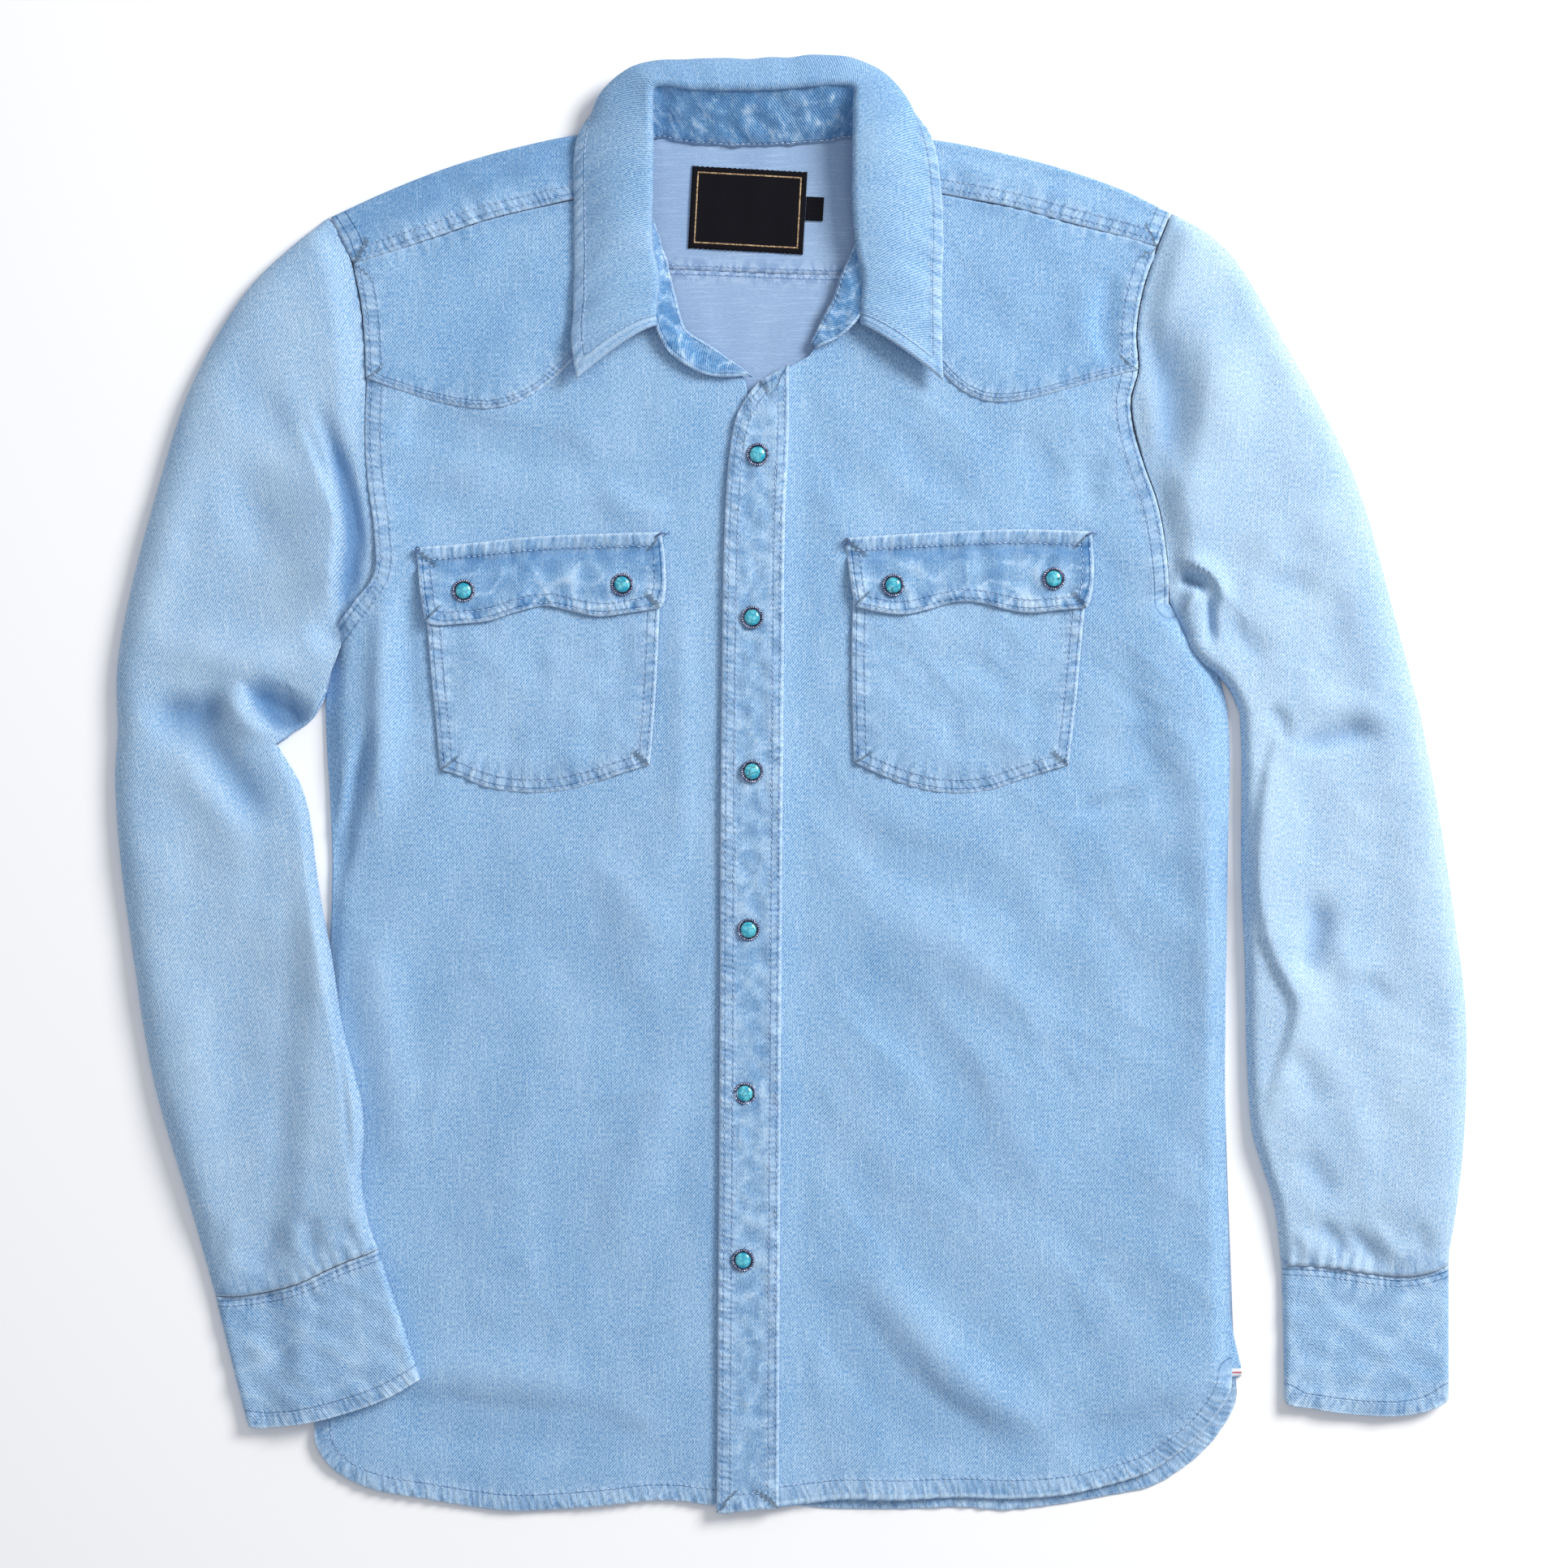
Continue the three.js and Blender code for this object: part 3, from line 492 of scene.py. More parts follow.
class Shader:
    def __init__(self, name):
        self.material = bpy.data.materials.new(name)
        self.material.use_nodes = True
        self.tree = self.material.node_tree
        self.tree.nodes.clear()

    def node(self, kind, settings, inputs, output=0):
        made = self.tree.nodes.new(kind)
        for key, value in settings.items():
            setattr(made, key, value)
        for key, value in inputs.items():
            if isinstance(value, Wire):
                self.tree.links.new(value.socket, made.inputs[key])
            else:
                made.inputs[key].default_value = value
        return Wire(self, made.outputs[output])

    def mix(self, factor, a, b):
        return self.node("ShaderNodeMix", {"data_type": "RGBA"}, {0: factor, 6: a, 7: b}, 2)

    def vector(self, x, y, z):
        return self.node("ShaderNodeCombineXYZ", {}, {0: x, 1: y, 2: z})

    def parts(self, vector):
        split = self.tree.nodes.new("ShaderNodeSeparateXYZ")
        self.tree.links.new(vector.socket, split.inputs[0])
        return [Wire(self, out) for out in split.outputs]

    def cloth(self):  # millimetres along and up the cloth
        across, up, _ = self.parts(self.node("ShaderNodeUVMap", {"uv_map": "cloth"}, {}))
        return across * 1000.0, up * 1000.0

    def noise(self, x, y, z=0.0, detail=2.0, roughness=0.5):
        return self.node("ShaderNodeTexNoise", {"noise_dimensions": "2D"},
                         {"Vector": self.vector(x, y, z), "Scale": 1.0, "Detail": detail,
                          "Roughness": roughness})

    def mottle(self, scale, detail=1.0):  # noise through the piece, by its place
        where = self.node("ShaderNodeTexCoord", {}, {}, 3)
        return self.node("ShaderNodeTexNoise", {}, {"Vector": where, "Scale": scale, "Detail": detail})

    def attribute(self, name, output):
        return self.node("ShaderNodeAttribute", {"attribute_name": name}, {}, output)

    def finish(self, color, roughness, bumpHeight=None, bump=0.0, **constants):
        shader = self.tree.nodes.new("ShaderNodeBsdfPrincipled")
        out = self.tree.nodes.new("ShaderNodeOutputMaterial")
        self.tree.links.new(shader.outputs[0], out.inputs[0])
        for key, value in dict(constants, **{"Base Color": color, "Roughness": roughness}).items():
            if isinstance(value, Wire):
                self.tree.links.new(value.socket, shader.inputs[key])
            else:
                shader.inputs[key].default_value = value
        if bumpHeight is not None:
            inputs = {"Height": bumpHeight, "Strength": 1.0, "Distance": bump}
            normal = self.node("ShaderNodeBump", {}, inputs)
            self.tree.links.new(normal.socket, shader.inputs["Normal"])
        return self.material


def tone(red, green, blue):  # a colour as it is picked on screen
    return tuple(((c / 255 + 0.055) / 1.055) ** 2.4 for c in (red, green, blue)) + (1.0,)


denimTones = dict(pale=tone(188, 219, 244), deep=tone(80, 143, 199), bleach=tone(204, 228, 249),
                  shade=tone(60, 119, 174))
sleeveTones = dict(denimTones, pale=tone(206, 229, 247), deep=tone(108, 162, 210))


weave = dict(rib=1.15, ribShare=0.62, yarnShare=1.8, slubShare=0.2, cloudShare=0.42, bump=0.00026)
fading = dict(reach=19.0, tick=4.1, row=0.65, edge=1.7)  # how far a seam's wash goes, and its marks


def denim(name, lift, twillAngle=0.85, markStrength=1.0, tones=denimTones):
    # yarn-dyed twill: raised diagonal ribs, vertical slubs, and a wash that pales what stands up; the
    # per-point attribute it reads also carries painted shade in fold troughs, the flap groove, the right
    # shoulder and the collar's back, and some painted light on fold ridges
    sh = Shader(name)
    u, v = sh.cloth()
    drift = sh.noise(u * 0.03, v * 0.03)
    rib = (u * math.sin(twillAngle) - v * math.cos(twillAngle)) * (2 * math.pi / weave["rib"])
    twill = (rib + drift * 5.0).sin() * 0.5 + 0.5
    yarn = sh.noise(u * 1.3, v * 0.6, roughness=0.6)
    speck = sh.noise(u * 0.8, v * 0.5, 3.0, detail=1.0)
    slub = sh.noise(u * 0.95, v * 0.045, 8.0).between(0.52, 0.74)
    cloud = sh.noise(u * 0.03, v * 0.014, 5.0, detail=4.0, roughness=0.6)
    level = (twill - 0.5) * weave["ribShare"] + (yarn - 0.5) * weave["yarnShare"]
    level = level + slub * weave["slubShare"] + (cloud - 0.5) * weave["cloudShare"] + lift
    color = sh.mix(level.clamped(), tones["deep"], tones["pale"])
    white = speck.between(0.66, 0.8) * 0.3
    color = sh.mix(white, color, denimTones["bleach"])
    # real fading round the seams, mixed with the painted shade and painted light of the pieces' folds
    wash = sh.attribute("wash", 2)
    along, away, weight = sh.parts(sh.attribute("seam", 1))
    first, second, last = sh.parts(sh.attribute("rows", 1))
    wander = sh.noise(along * 0.11, away * 0.05)
    tick = (along * (2 * math.pi / fading["tick"]) + wander * 11.0 + away * 0.45).sin() * 0.5 + 0.5
    inBand = (1.0 - away.between(last + wander * 3.0 - 1.0, last + wander * 5.0 + 1.2)) * weight
    blotch = sh.noise(along * 0.15, away * 0.07, 4.0, detail=3.0, roughness=0.62).between(0.38, 0.62)
    near = (1.0 - away / fading["reach"]).clamped() * weight
    light = (wash * 0.42 * markStrength).clamped() + near * (blotch - 0.55).clamped() * (0.6 * markStrength)
    light = light + inBand * (tick * 0.24 + 0.1)
    color = sh.mix((light * 0.85).clamped(), color, denimTones["bleach"])
    dark = (wash * -0.5 * markStrength).clamped() + near * (0.5 - blotch).clamped() * (0.72 * markStrength)
    dark = dark + inBand * ((1.0 - tick) * 0.1)
    rowAt = sum((1.0 - (away - row).size() / fading["row"]).clamped() for row in (first, second))
    dash = (along * (2 * math.pi / stitchSize["pitch"])).sin() * 0.5 + 0.5
    rowDark = (rowAt * weight).clamped()
    dark = dark + rowDark * (dash * 0.5 + 0.16)
    color = sh.mix((dark * 0.85).clamped(), color, denimTones["shade"])
    edge = (1.0 - away / fading["edge"]).clamped() * weight
    color = sh.mix(edge * (0.65 * markStrength), color, denimTones["bleach"])
    height = twill * 0.7 + yarn * 1.0 + slub * 0.3 - rowDark * 1.6 + inBand * tick * 1.0
    return sh.finish(color, 0.92, height, weave["bump"], **{"Sheen Weight": 0.05, "Sheen Roughness": 0.6})


def innerDenim(name):  # the weft side, greyer and paler
    sh = Shader(name)
    u, v = sh.cloth()
    rib = (u * 0.7 + v * 0.7) * (2 * math.pi / 1.2)  # 45 degrees, ribs 1.2 mm apart
    twill = rib.sin() * 0.5 + 0.5
    yarn = sh.noise(u * 0.4, v * 1.6, roughness=0.6)
    cloud = sh.noise(u * 0.03, v * 0.02, 5.0, detail=3.0, roughness=0.55)
    level = twill * 0.2 + yarn * 0.5 + cloud * 0.4
    slub = sh.noise(u * 0.05, v * 1.0, 8.0).between(0.52, 0.74)
    color = sh.mix((level + slub * 0.25 - 0.05).clamped(), tone(112, 143, 186), tone(172, 198, 227))
    along, away, weight = sh.parts(sh.attribute("seam", 1))
    first, _, _ = sh.parts(sh.attribute("rows", 1))
    blotch = sh.noise(along * 0.2, away * 0.1, 4.0, roughness=0.6).between(0.4, 0.6)
    near = (1.0 - away / 9.0).clamped() * weight
    color = sh.mix(near * blotch * 0.5, color, tone(188, 208, 232))
    color = sh.mix(near * (1.0 - blotch) * 0.5, color, tone(92, 126, 172))
    rowDark = (1.0 - (away - first).size() / 0.8).clamped() * weight
    color = sh.mix(rowDark * 0.6, color, tone(84, 118, 166))
    return sh.finish(color, 0.95, twill * 0.5 + yarn * 0.5, 0.00014, **{"Sheen Weight": 0.1})


def threadMaterial(name, color, paler):
    sh = Shader(name)
    grain = sh.mottle(160.0).between(0.35, 0.65)
    return sh.finish(sh.mix(grain, color, paler), 0.7, **{"Sheen Weight": 0.2})


denimBody = denim("denimBody", 0.49)
denimYoke = denim("denimYoke", 0.4)
denimPocket = denim("denimPocket", 0.53, markStrength=1.1)
denimFlap = denim("denimFlap", 0.42, markStrength=1.25)
denimPlacket = denim("denimPlacket", 0.53, markStrength=1.1)
# one denim for both sleeves; the left one is paler as painted light, where the key light falls strongest
denimSleeveRight = denim("denimSleeveRight", 0.46, tones=sleeveTones)
denimSleeveLeft = denim("denimSleeveLeft", 0.6, tones=sleeveTones)
denimCuff = denim("denimCuff", 0.59)
denimCollar = denim("denimCollar", 0.46, twillAngle=0.9)
denimStand = denim("denimStand", 0.14, twillAngle=0.9, markStrength=1.3)
denimInside = innerDenim("denimInside")
threadBlue = threadMaterial("threadBlue", tone(132, 172, 216), tone(196, 220, 248))
threadNavy = threadMaterial("threadNavy", tone(44, 74, 128), tone(104, 144, 196))


def finishPiece(piece, materials, node=None):
    for material in materials:
        piece.data.materials.append(material)
    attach(piece, "root")
    if node:
        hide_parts(node)


def finishSheet(piece, material, node, area, restsOn):
    finishPiece(piece, (material, denimInside), node)


# camera and light

def deselect():
    for item in list(bpy.context.selected_objects):
        item.select_set(False)


def addCamera():
    data = bpy.data.cameras.new("camera")
    data.sensor_width = 36
    height = 2.2
    seen = 0.860  # metres of the floor across the picture
    data.lens = data.sensor_width * height / seen
    camera = bpy.data.objects.new("camera", data)
    camera.location = (-0.0036, 0.0011, height)
    bpy.context.collection.objects.link(camera)
    bpy.context.scene.camera = camera


def addLight(name, location, target, size, energy, color):
    data = bpy.data.lights.new(name, "AREA")
    data.shape = "DISK"
    data.size = size
    data.energy = energy
    data.color = color
    light = bpy.data.objects.new(name, data)
    light.location = location
    way = Vector(target) - Vector(location)
    light.rotation_euler = way.to_track_quat("-Z", "Y").to_euler()
    bpy.context.collection.objects.link(light)


def addStage():
    bpy.ops.mesh.primitive_plane_add(size=12, location=(0, 0, -0.0004))
    floor = bpy.context.active_object
    floor.name = "floor"
    sh = Shader("floorPaper")
    floor.data.materials.append(sh.finish(tone(255, 255, 255), 0.9))
    addLight("keyLight", (1.8, 1.25, 1.7), (0, 0, 0), 1.2, 77, (1.0, 0.99, 0.97))
    addLight("topLight", (-0.1, 0.1, 2.6), (0, 0, 0), 2.4, 10, (0.97, 0.98, 1.0))
    world = bpy.data.worlds.new("world")
    world.use_nodes = True
    world.node_tree.nodes["Background"].inputs[0].default_value = (0.88, 0.91, 1.0, 1)
    world.node_tree.nodes["Background"].inputs[1].default_value = 0.41
    bpy.context.scene.world = world
    bpy.context.scene.view_settings.view_transform = "Standard"


deselect()
addCamera()
addStage()
print("camera, floor and lights")


# seam lines shared by the pieces; right is the wearer's right, at -X

rightSide = dict(
    side=[[-261, -350], [-262, -310], [-259, -220], [-254, -120], [-251, -50], [-252, -10], [-254, 22],
          [-254.5, 48], [-252.5, 66], [-250.5, 84]],
    armhole=[[-250.5, 84], [-238, 101], [-227.5, 116], [-227.5, 138], [-231.5, 168], [-233, 196],
             [-232, 223], [-233, 245], [-234.5, 262], [-239, 285.5]],
    shoulderTip=[[-239, 285.5], [-245, 301], [-252, 311.5]],
    fold=[[-252, 311.5], [-218, 327], [-184, 340], [-149, 350], [-118, 356.5], [-87, 360]],
    shoulder=[[-239, 285.5], [-198, 299], [-165, 310], [-119, 321], [-87, 328]],
    yoke=[[-232, 223], [-220, 218.5], [-198, 211.5], [-180, 207.5], [-166, 206.3], [-152, 209], [-137, 217],
          [-119, 233], [-104, 252], [-88, 275]],
    hem=[[-261, -350], [-259.5, -362], [-252, -373], [-242, -380], [-226, -386], [-200, -390.5],
         [-177, -394.5], [-154, -397], [-130, -396.5], [-100, -394], [-77, -391.5], [-58, -392],
         [-41, -394], [-20, -391.5]],
)
leftSide = dict(
    side=[[242, -322], [240.5, -287], [240, -265], [238, -163], [239.5, -40], [240, -10], [240.5, 22],
          [238, 48], [228, 74], [207, 100]],
    armhole=[[207, 100], [205, 128], [200.5, 154], [193, 176], [186.5, 202], [186.2, 213], [190, 227.5],
             [189, 249], [192.5, 271], [200, 294.5]],
    shoulderTip=[[200, 294.5], [204, 304], [208, 313.7]],
    fold=[[208, 313.7], [183, 326], [144, 339.5], [96, 351], [74, 354.5], [46, 357.5]],
    shoulder=[[200, 294.5], [187, 299], [149, 309], [128, 315], [115, 318], [83, 324], [46, 330]],
    yoke=[[190, 227.5], [166, 221.5], [138, 213.5], [120, 210.3], [108, 210.5], [96, 215], [85, 224],
          [70, 243], [54, 268]],
    hem=[[-37, -394], [-4, -392], [10, -390.5], [30, -388.5], [60, -389], [95, -388], [118, -389],
         [150, -387], [170, -383], [188, -378], [200, -373], [215, -362], [226, -352], [236, -339],
         [241, -329], [242, -322]],
)
centreEdge = [[-40.5, -397], [-39, -180], [-38, 30], [-36, 146], [-33, 186], [-29, 204], [-24, 213],
              [-17, 221.5]]
centreSewn = [[-6.5, -395], [-5.5, -180], [-4, 30], [-3, 146], [-1, 192], [-1, 229]]
rightNeck = [[-88, 326], [-84, 300], [-78, 280], [-67, 260], [-51, 243], [-36, 233], [-25, 223]]
leftNeck = [[-15, 221.5], [-2, 229.5], [11, 237.5], [22, 253], [34, 282], [43, 310], [46, 328]]

# the two fronts; every piece on them is lifted from their height

# columns: path, rise, width to its left, width to its right
rightFolds = [
    ([[-222, 206], [-187, 196], [-154, 190], [-118, 181], [-96, 170]], -2.0, 7, 12),
    ([[-226, 160], [-200, 158], [-170, 163]], -0.9, 8, 8),
    ([[-221, 122], [-223, 70], [-224, 8], [-226, -40]], 2.6, 8, 7),
    ([[-229, 40], [-236, 8], [-243, -25], [-247, -62]], -3.2, 5, 4),
    ([[-211, 128], [-209, 70], [-206, 10]], -1.1, 6, 7),
    ([[-235, -60], [-222, -130], [-214, -220]], 1.8, 12, 14),
    ([[-190, -40], [-140, -75], [-95, -120], [-70, -180]], -1.0, 16, 20),
    ([[-120, -30], [-90, -60], [-62, -100]], 0.9, 12, 14),
    ([[-232, -338], [-170, -346], [-110, -352], [-58, -366]], -2.4, 9, 16),
    ([[-235, -318], [-160, -322], [-90, -330]], 1.2, 14, 12),
    ([[-150, -200], [-110, -250], [-85, -310]], -0.9, 18, 18),
    ([[-60, 130], [-58, 40], [-60, -60]], 0.8, 9, 9),
    ([[-110, 170], [-85, 150], [-60, 146]], 0.9, 8, 10),
]
leftFolds = [
    ([[178, 284], [171, 264], [170, 246], [177, 226]], -1.7, 7, 3.5),
    ([[163, 280], [158, 258], [162, 236]], 0.9, 8, 8),
    ([[60, 196], [72, 180], [88, 164], [96, 150]], -1.2, 10, 10),
    ([[120, 200], [138, 178], [150, 150]], -0.9, 9, 10),
    ([[176, 178], [162, 166], [172, 150]], -1.0, 6, 8),
    ([[22, -26], [60, -40], [106, -56], [138, -78]], -1.7, 12, 10),
    ([[16, -60], [66, -78], [118, -112], [150, -150]], 1.2, 14, 14),
    ([[24, -96], [70, -136], [112, -196]], -1.5, 13, 12),
    ([[60, -120], [110, -170], [150, -240]], 1.0, 14, 14),
    ([[20, -200], [66, -250], [120, -300]], -0.9, 16, 16),
    ([[8, -262], [36, -306], [72, -344], [120, -366]], -2.6, 12, 15),
    ([[30, -250], [70, -300], [110, -336], [170, -350]], 1.8, 14, 12),
    ([[150, -362], [190, -352], [224, -330]], -1.2, 10, 10),
    ([[150, -16], [176, -9], [196, 2]], -1.3, 4, 6),
    ([[178, 90], [190, 40], [205, -20]], -0.9, 10, 12),
    ([[205, 60], [222, 0], [229, -80], [229, -170]], 1.4, 9, 11),
    ([[170, -60], [205, -130], [220, -220]], -0.9, 18, 18),
]


def shoulderBulk(x, y, side):  # the cloth stands thicker along the armhole
    line = resample(denseCurve(side["armhole"]), np.linspace(0, 1, 20))
    return 1.9 * np.exp(-(nearest(x, y, line)[0] / 24) ** 2)


def creases(x, y, turn, seed):  # faint long creases that run one way, in patches
    along, across = x * math.cos(turn) + y * math.sin(turn), y * math.cos(turn) - x * math.sin(turn)
    line = crinkle(along * 0.45, across * 1.5, 42, seed + 40) + 0.42
    return line * (0.5 + 0.5 * waves(x, y, 75, seed + 50)).clip(0, 1) * 0.5 + waves(x, y, 24, seed) * 0.1


frontRest, frontLeast = 3.3, 3.35  # heights of a front's upper face: lying flat, and the least anywhere


def kept(height, least):  # eased so that it never goes under its least
    return least + np.logaddexp(0, (height - least) * 1.6) / 1.6


def sideRoll(x, y, side, rise):  # plump along the side and the armhole, then the drop at its very edge
    d = np.abs(nearest(x, y, resample(denseCurve(side["side"]), np.linspace(0, 1, 20)))[0])
    plump = rise * smooth(0, 12, d) * (1 - smooth(14, 95, d)) + 1.7
    return plump + shoulderBulk(x, y, side), -1.9 * (1 - smooth(0, 8, d))


def rightFrontTop(x, y):
    plump, edge = sideRoll(x, y, rightSide, 5.0 * smooth(-130, 10, y))
    free = smooth(-40, -62, x)
    ripple = waves(x * 1.3 - y * 0.4, y * 0.5, 66, 3) * 0.5 + creases(x, y, 0.5, 4)
    hemFall = -1.3 * (1 - smooth(-392, -362, y)) * free
    hills = plump + hemFall + (foldsOf(rightFolds, x, y) * 2.2 + ripple) * free
    return kept(frontRest + hills, frontLeast) + edge


def leftFrontTop(x, y):
    plump, edge = sideRoll(x, y, leftSide, 4.6)
    free = smooth(2, 22, x)
    ripple = waves(x * 0.8 + y * 1.1, y * 0.4 - x * 0.4, 60, 5) * 0.55 + creases(x, y, -0.75, 6)
    lap = layer * (1 - smooth(-8, 10, x))
    hills = (foldsOf(leftFolds, x, y) * 2.3 + ripple) * free
    return kept(frontRest + plump + hills, frontLeast) + edge + lap


bodyStep, backStep = 2.25, 4.2
turnedUp = 11  # depth of the back's turned hem
backHem = [[-259.5, -350], [-258, -361], [-250, -372], [-240, -378], [-200, -388], [-154, -394],
           [-77, -390.5], [-10, -393], [20, -396], [60, -396.5], [95, -395.5], [117, -397], [150, -393.5],
           [175, -389], [198, -384], [215, -374], [228, -363], [238, -350], [244, -338], [244.5, -330],
           [242, -322]]
backSeam = [[-239, 285], [-150, 284], [-65, 283], [28, 280], [120, 282], [200, 294]]


def backTop(x, y):
    ripple = waves(x, y, 70, 21) * 0.25
    neck = foldsOf([([[-50, 270], [-44, 240], [-40, 222]], 0.7, 6, 7),
                    ([[-6, 262], [-14, 240], [-20, 226]], -0.6, 6, 8)], x, y)
    return 1.5 + (ripple + neck) * smooth(-330, -300, y)


fronts = dict(
    Right=dict(side=rightSide, topOf=rightFrontTop, folds=rightFolds, seed=3, way=-1, flat=(0.25, 0.74),
               edges=[chain([[-238.5, 281], [-165, 306], [-88, 326]], rightNeck),
                      chain(rightSide["side"], rightSide["armhole"][:-1] + [[-238.5, 281]]),
                      chain([[-20, -391.5], [-17, 0], [-16, 120], [-19, 190], [-25, 223]])]),
    Left=dict(side=leftSide, topOf=leftFrontTop, folds=leftFolds, seed=13, way=1, flat=(0.285, 0.74),
              edges=[chain(leftNeck, [[46, 328], [115, 316], [199.5, 291]]),
                     chain(centreEdge[:-1] + [[-15, 221.5]]) + np.array([1.5, 0]),
                     chain(leftSide["side"], leftSide["armhole"][:-1] + [[199.5, 291]])]),
)


def buildFront(name, shape):  # returns its stitch rows
    hem, armhole = chain(shape["side"]["hem"]), chain(shape["side"]["armhole"])
    topOf, seed = shape["topOf"], shape["seed"]
    grid = patch(hem, *shape["edges"], bodyStep)
    seams = [seam(hem, 7.5, 9, 1.1, slant=0.9, seed=seed, rows=[8.6]),
             seam(armhole, 7, 8, 0.7, seed=seed + 2, rows=[2.6, 8.2])]
    # the folds also tint the front: painted shade in their troughs, and ridges paler, partly real fading
    # and partly painted light
    piece = flatPiece("front" + name, grid, topOf, seams,
                      fadeAndShadeOf=lambda x, y: foldsOf(shape["folds"], x, y) * 0.13)
    finishSheet(piece, denimBody, "front_" + name.lower(), planArea(grid),
                "back_panel")
    plans = [insetRun(hem, 9, 3, 24)]
    plans += [insetRun(armhole, inset * shape["way"], 26, 62) for inset in (2.6, 8.2)]
    return [rowOn(topOf, plan, seams) for plan in plans]


def buildBody():
    rows = [row for name, shape in fronts.items() for row in buildFront(name, shape)]
    grid = patch(chain(backHem), chain(backSeam) - np.array([0, 0.6]),
                 chain(rightSide["side"], rightSide["armhole"]),
                 chain(leftSide["side"], leftSide["armhole"]), backStep)
    seams = [seam(chain(backHem), 7.5, 8, 0.9, slant=0.9, seed=23, rows=[9]),
             seam(chain(backSeam), 6, 7, 0.4)]
    back = flatPiece("backPanel", grid, backTop, seams, insideUp=True)
    for face in back.data.polygons:  # the hem is turned up, so its own face shows there
        if face.center.y < -0.3 and face.normal.z > 0 and face.material_index == 1:
            away = back.data.attributes["seam"].data[face.vertices[0]].vector[1]
            face.material_index = 0 if away < turnedUp else 1
    finishSheet(back, denimBody, "back_panel", planArea(grid), "floor")
    for line, inset, start, end in ((backSeam, 2.6, 160, 160), (backSeam, -2.0, 160, 160),
                                    (backHem, 9, 250, 40)):
        rows.append(rowOn(backTop, insetRun(chain(line), inset, start, end), seams))
    stitchMesh("stitchesBody", rows)
    print("fronts and back")


buildBody()


# placket

placket = dict(rise=2.2, thickness=1.9, middle=-21.5, reach=9.5)  # middle and reach of its crushed part


def crushed(x, y):
    ridges = crinkle(x * 0.9 + y * 0.5, y * 1.1 - x * 0.6, 23, 35)
    ridges = ridges + crinkle(x - y * 0.5, y + x * 0.4, 27, 37) * 0.8
    return ridges * np.exp(-((x - placket["middle"]) / placket["reach"]) ** 4)


def placketTop(x, y):
    relief = waves(x * 1.6, y, 15, 31) * 0.35 + waves(x, y * 1.3, 8, 32) * 0.2
    relief = relief * smooth(0, 9, np.abs(x + 39))
    return leftFrontTop(x, y) + placket["rise"] + relief + crushed(x, y) * 0.5


def buildPlacket():
    top = chain([[-17, 221.5], [-8, 226.5], [-1, 231]])
    edge, sewn = chain(centreEdge), chain(centreSewn[:-1] + [[-1, 231]])
    hem = chain([[-40.5, -397], [-6.5, -395]])
    grid = patch(chain([[-40.5, -397], [-37, -397.8], [-22, -396], [-6.5, -395]]), top, edge, sewn, 2.0)
    seams = [seam(edge, 8, 6, 0.7, slant=0.7, seed=33, rows=[2.7, 7]),
             seam(sewn, 8, 6, 0.7, slant=-0.7, seed=34, rows=[2.4, 6.2]),
             seam(hem, 6, 7, 0.5, rows=[9]), seam(top, 7, 6, 0.5, rows=[3])]

    def clothMarks(x, y):
        mottled = waves(x, y, 13, 36) * 0.3
        return crushed(x, y) * 0.85 + mottled * np.exp(-((x - placket["middle"]) / placket["reach"]) ** 2)

    piece = flatPiece("placketStrip", grid, placketTop, seams, placket["thickness"], 1.8, fadeAndShadeOf=clothMarks)
    finishSheet(piece, denimPlacket, "placket", planArea(grid), "frontLeft")
    plans = [insetRun(edge, -inset, 3, 6) for inset in (2.8, 7.2)]
    plans += [insetRun(sewn, inset, 3, 6) for inset in (2.4, 6.2)] + [insetRun(hem, 9, 3, 3)]
    stitchMesh("stitchesPlacket", [rowOn(placketTop, plan, seams) for plan in plans])
    print("placket")


buildPlacket()


# yokes

def rollHeight(distance):  # over the shoulder, from the fold towards the seam
    height, radius = 5.6, 2.8
    return radius + (height - radius) * np.sqrt(1 - (1 - np.clip(distance / radius, 0, 1)) ** 2)


def buildFrontYoke(name, shape, inner):  # returns its stitch rows
    side, way = shape["side"], -shape["way"]
    arm, lower = chain(side["armhole"][6:]), chain(side["yoke"])
    upper = chain(side["shoulder"]) - np.array([0, 0.35])
    grid = patch(lower, upper, arm, chain(inner), 2.3)
    seams = [seam(lower, 7.5, 9, 0.9, slant=0.25, seed=41, rows=[1.9, 3.9]),
             seam(arm, 7, 8, 0.6, seed=42, rows=[2.6, 8.2]),
             seam(upper, 8, 7, 0.5, seed=43, fade=0.4, rows=[])]
    yokeTop = lambda x, y: shape["topOf"](x, y) + 1.5
    piece = flatPiece("frontYoke" + name, grid, yokeTop, seams, roundness=2.0)
    finishSheet(piece, denimYoke, "front_yoke_" + name.lower(),
                planArea(grid), "front" + name)
    plans = [insetRun(lower, inset * way, 2, 14) for inset in (1.8, 3.6)]
    plans += [insetRun(arm, inset * -way, 4, 3) for inset in (2.6, 8.0)]
    return [rowOn(yokeTop, plan, seams) for plan in plans]


def buildYokes():
    rows = buildFrontYoke("Right", fronts["Right"], [[-88, 275], [-87.5, 300], [-87, 327.6]])
    rows += buildFrontYoke("Left", fronts["Left"], [[54, 268], [49, 295], [46, 329.6]])
    for grid, height, *_ in buildBackYoke():
        rows += [shoulderRow(grid, height, inset) for inset in (2.8, 7.2)]
    stitchMesh("stitchesYokes", rows)
    print("yokes")


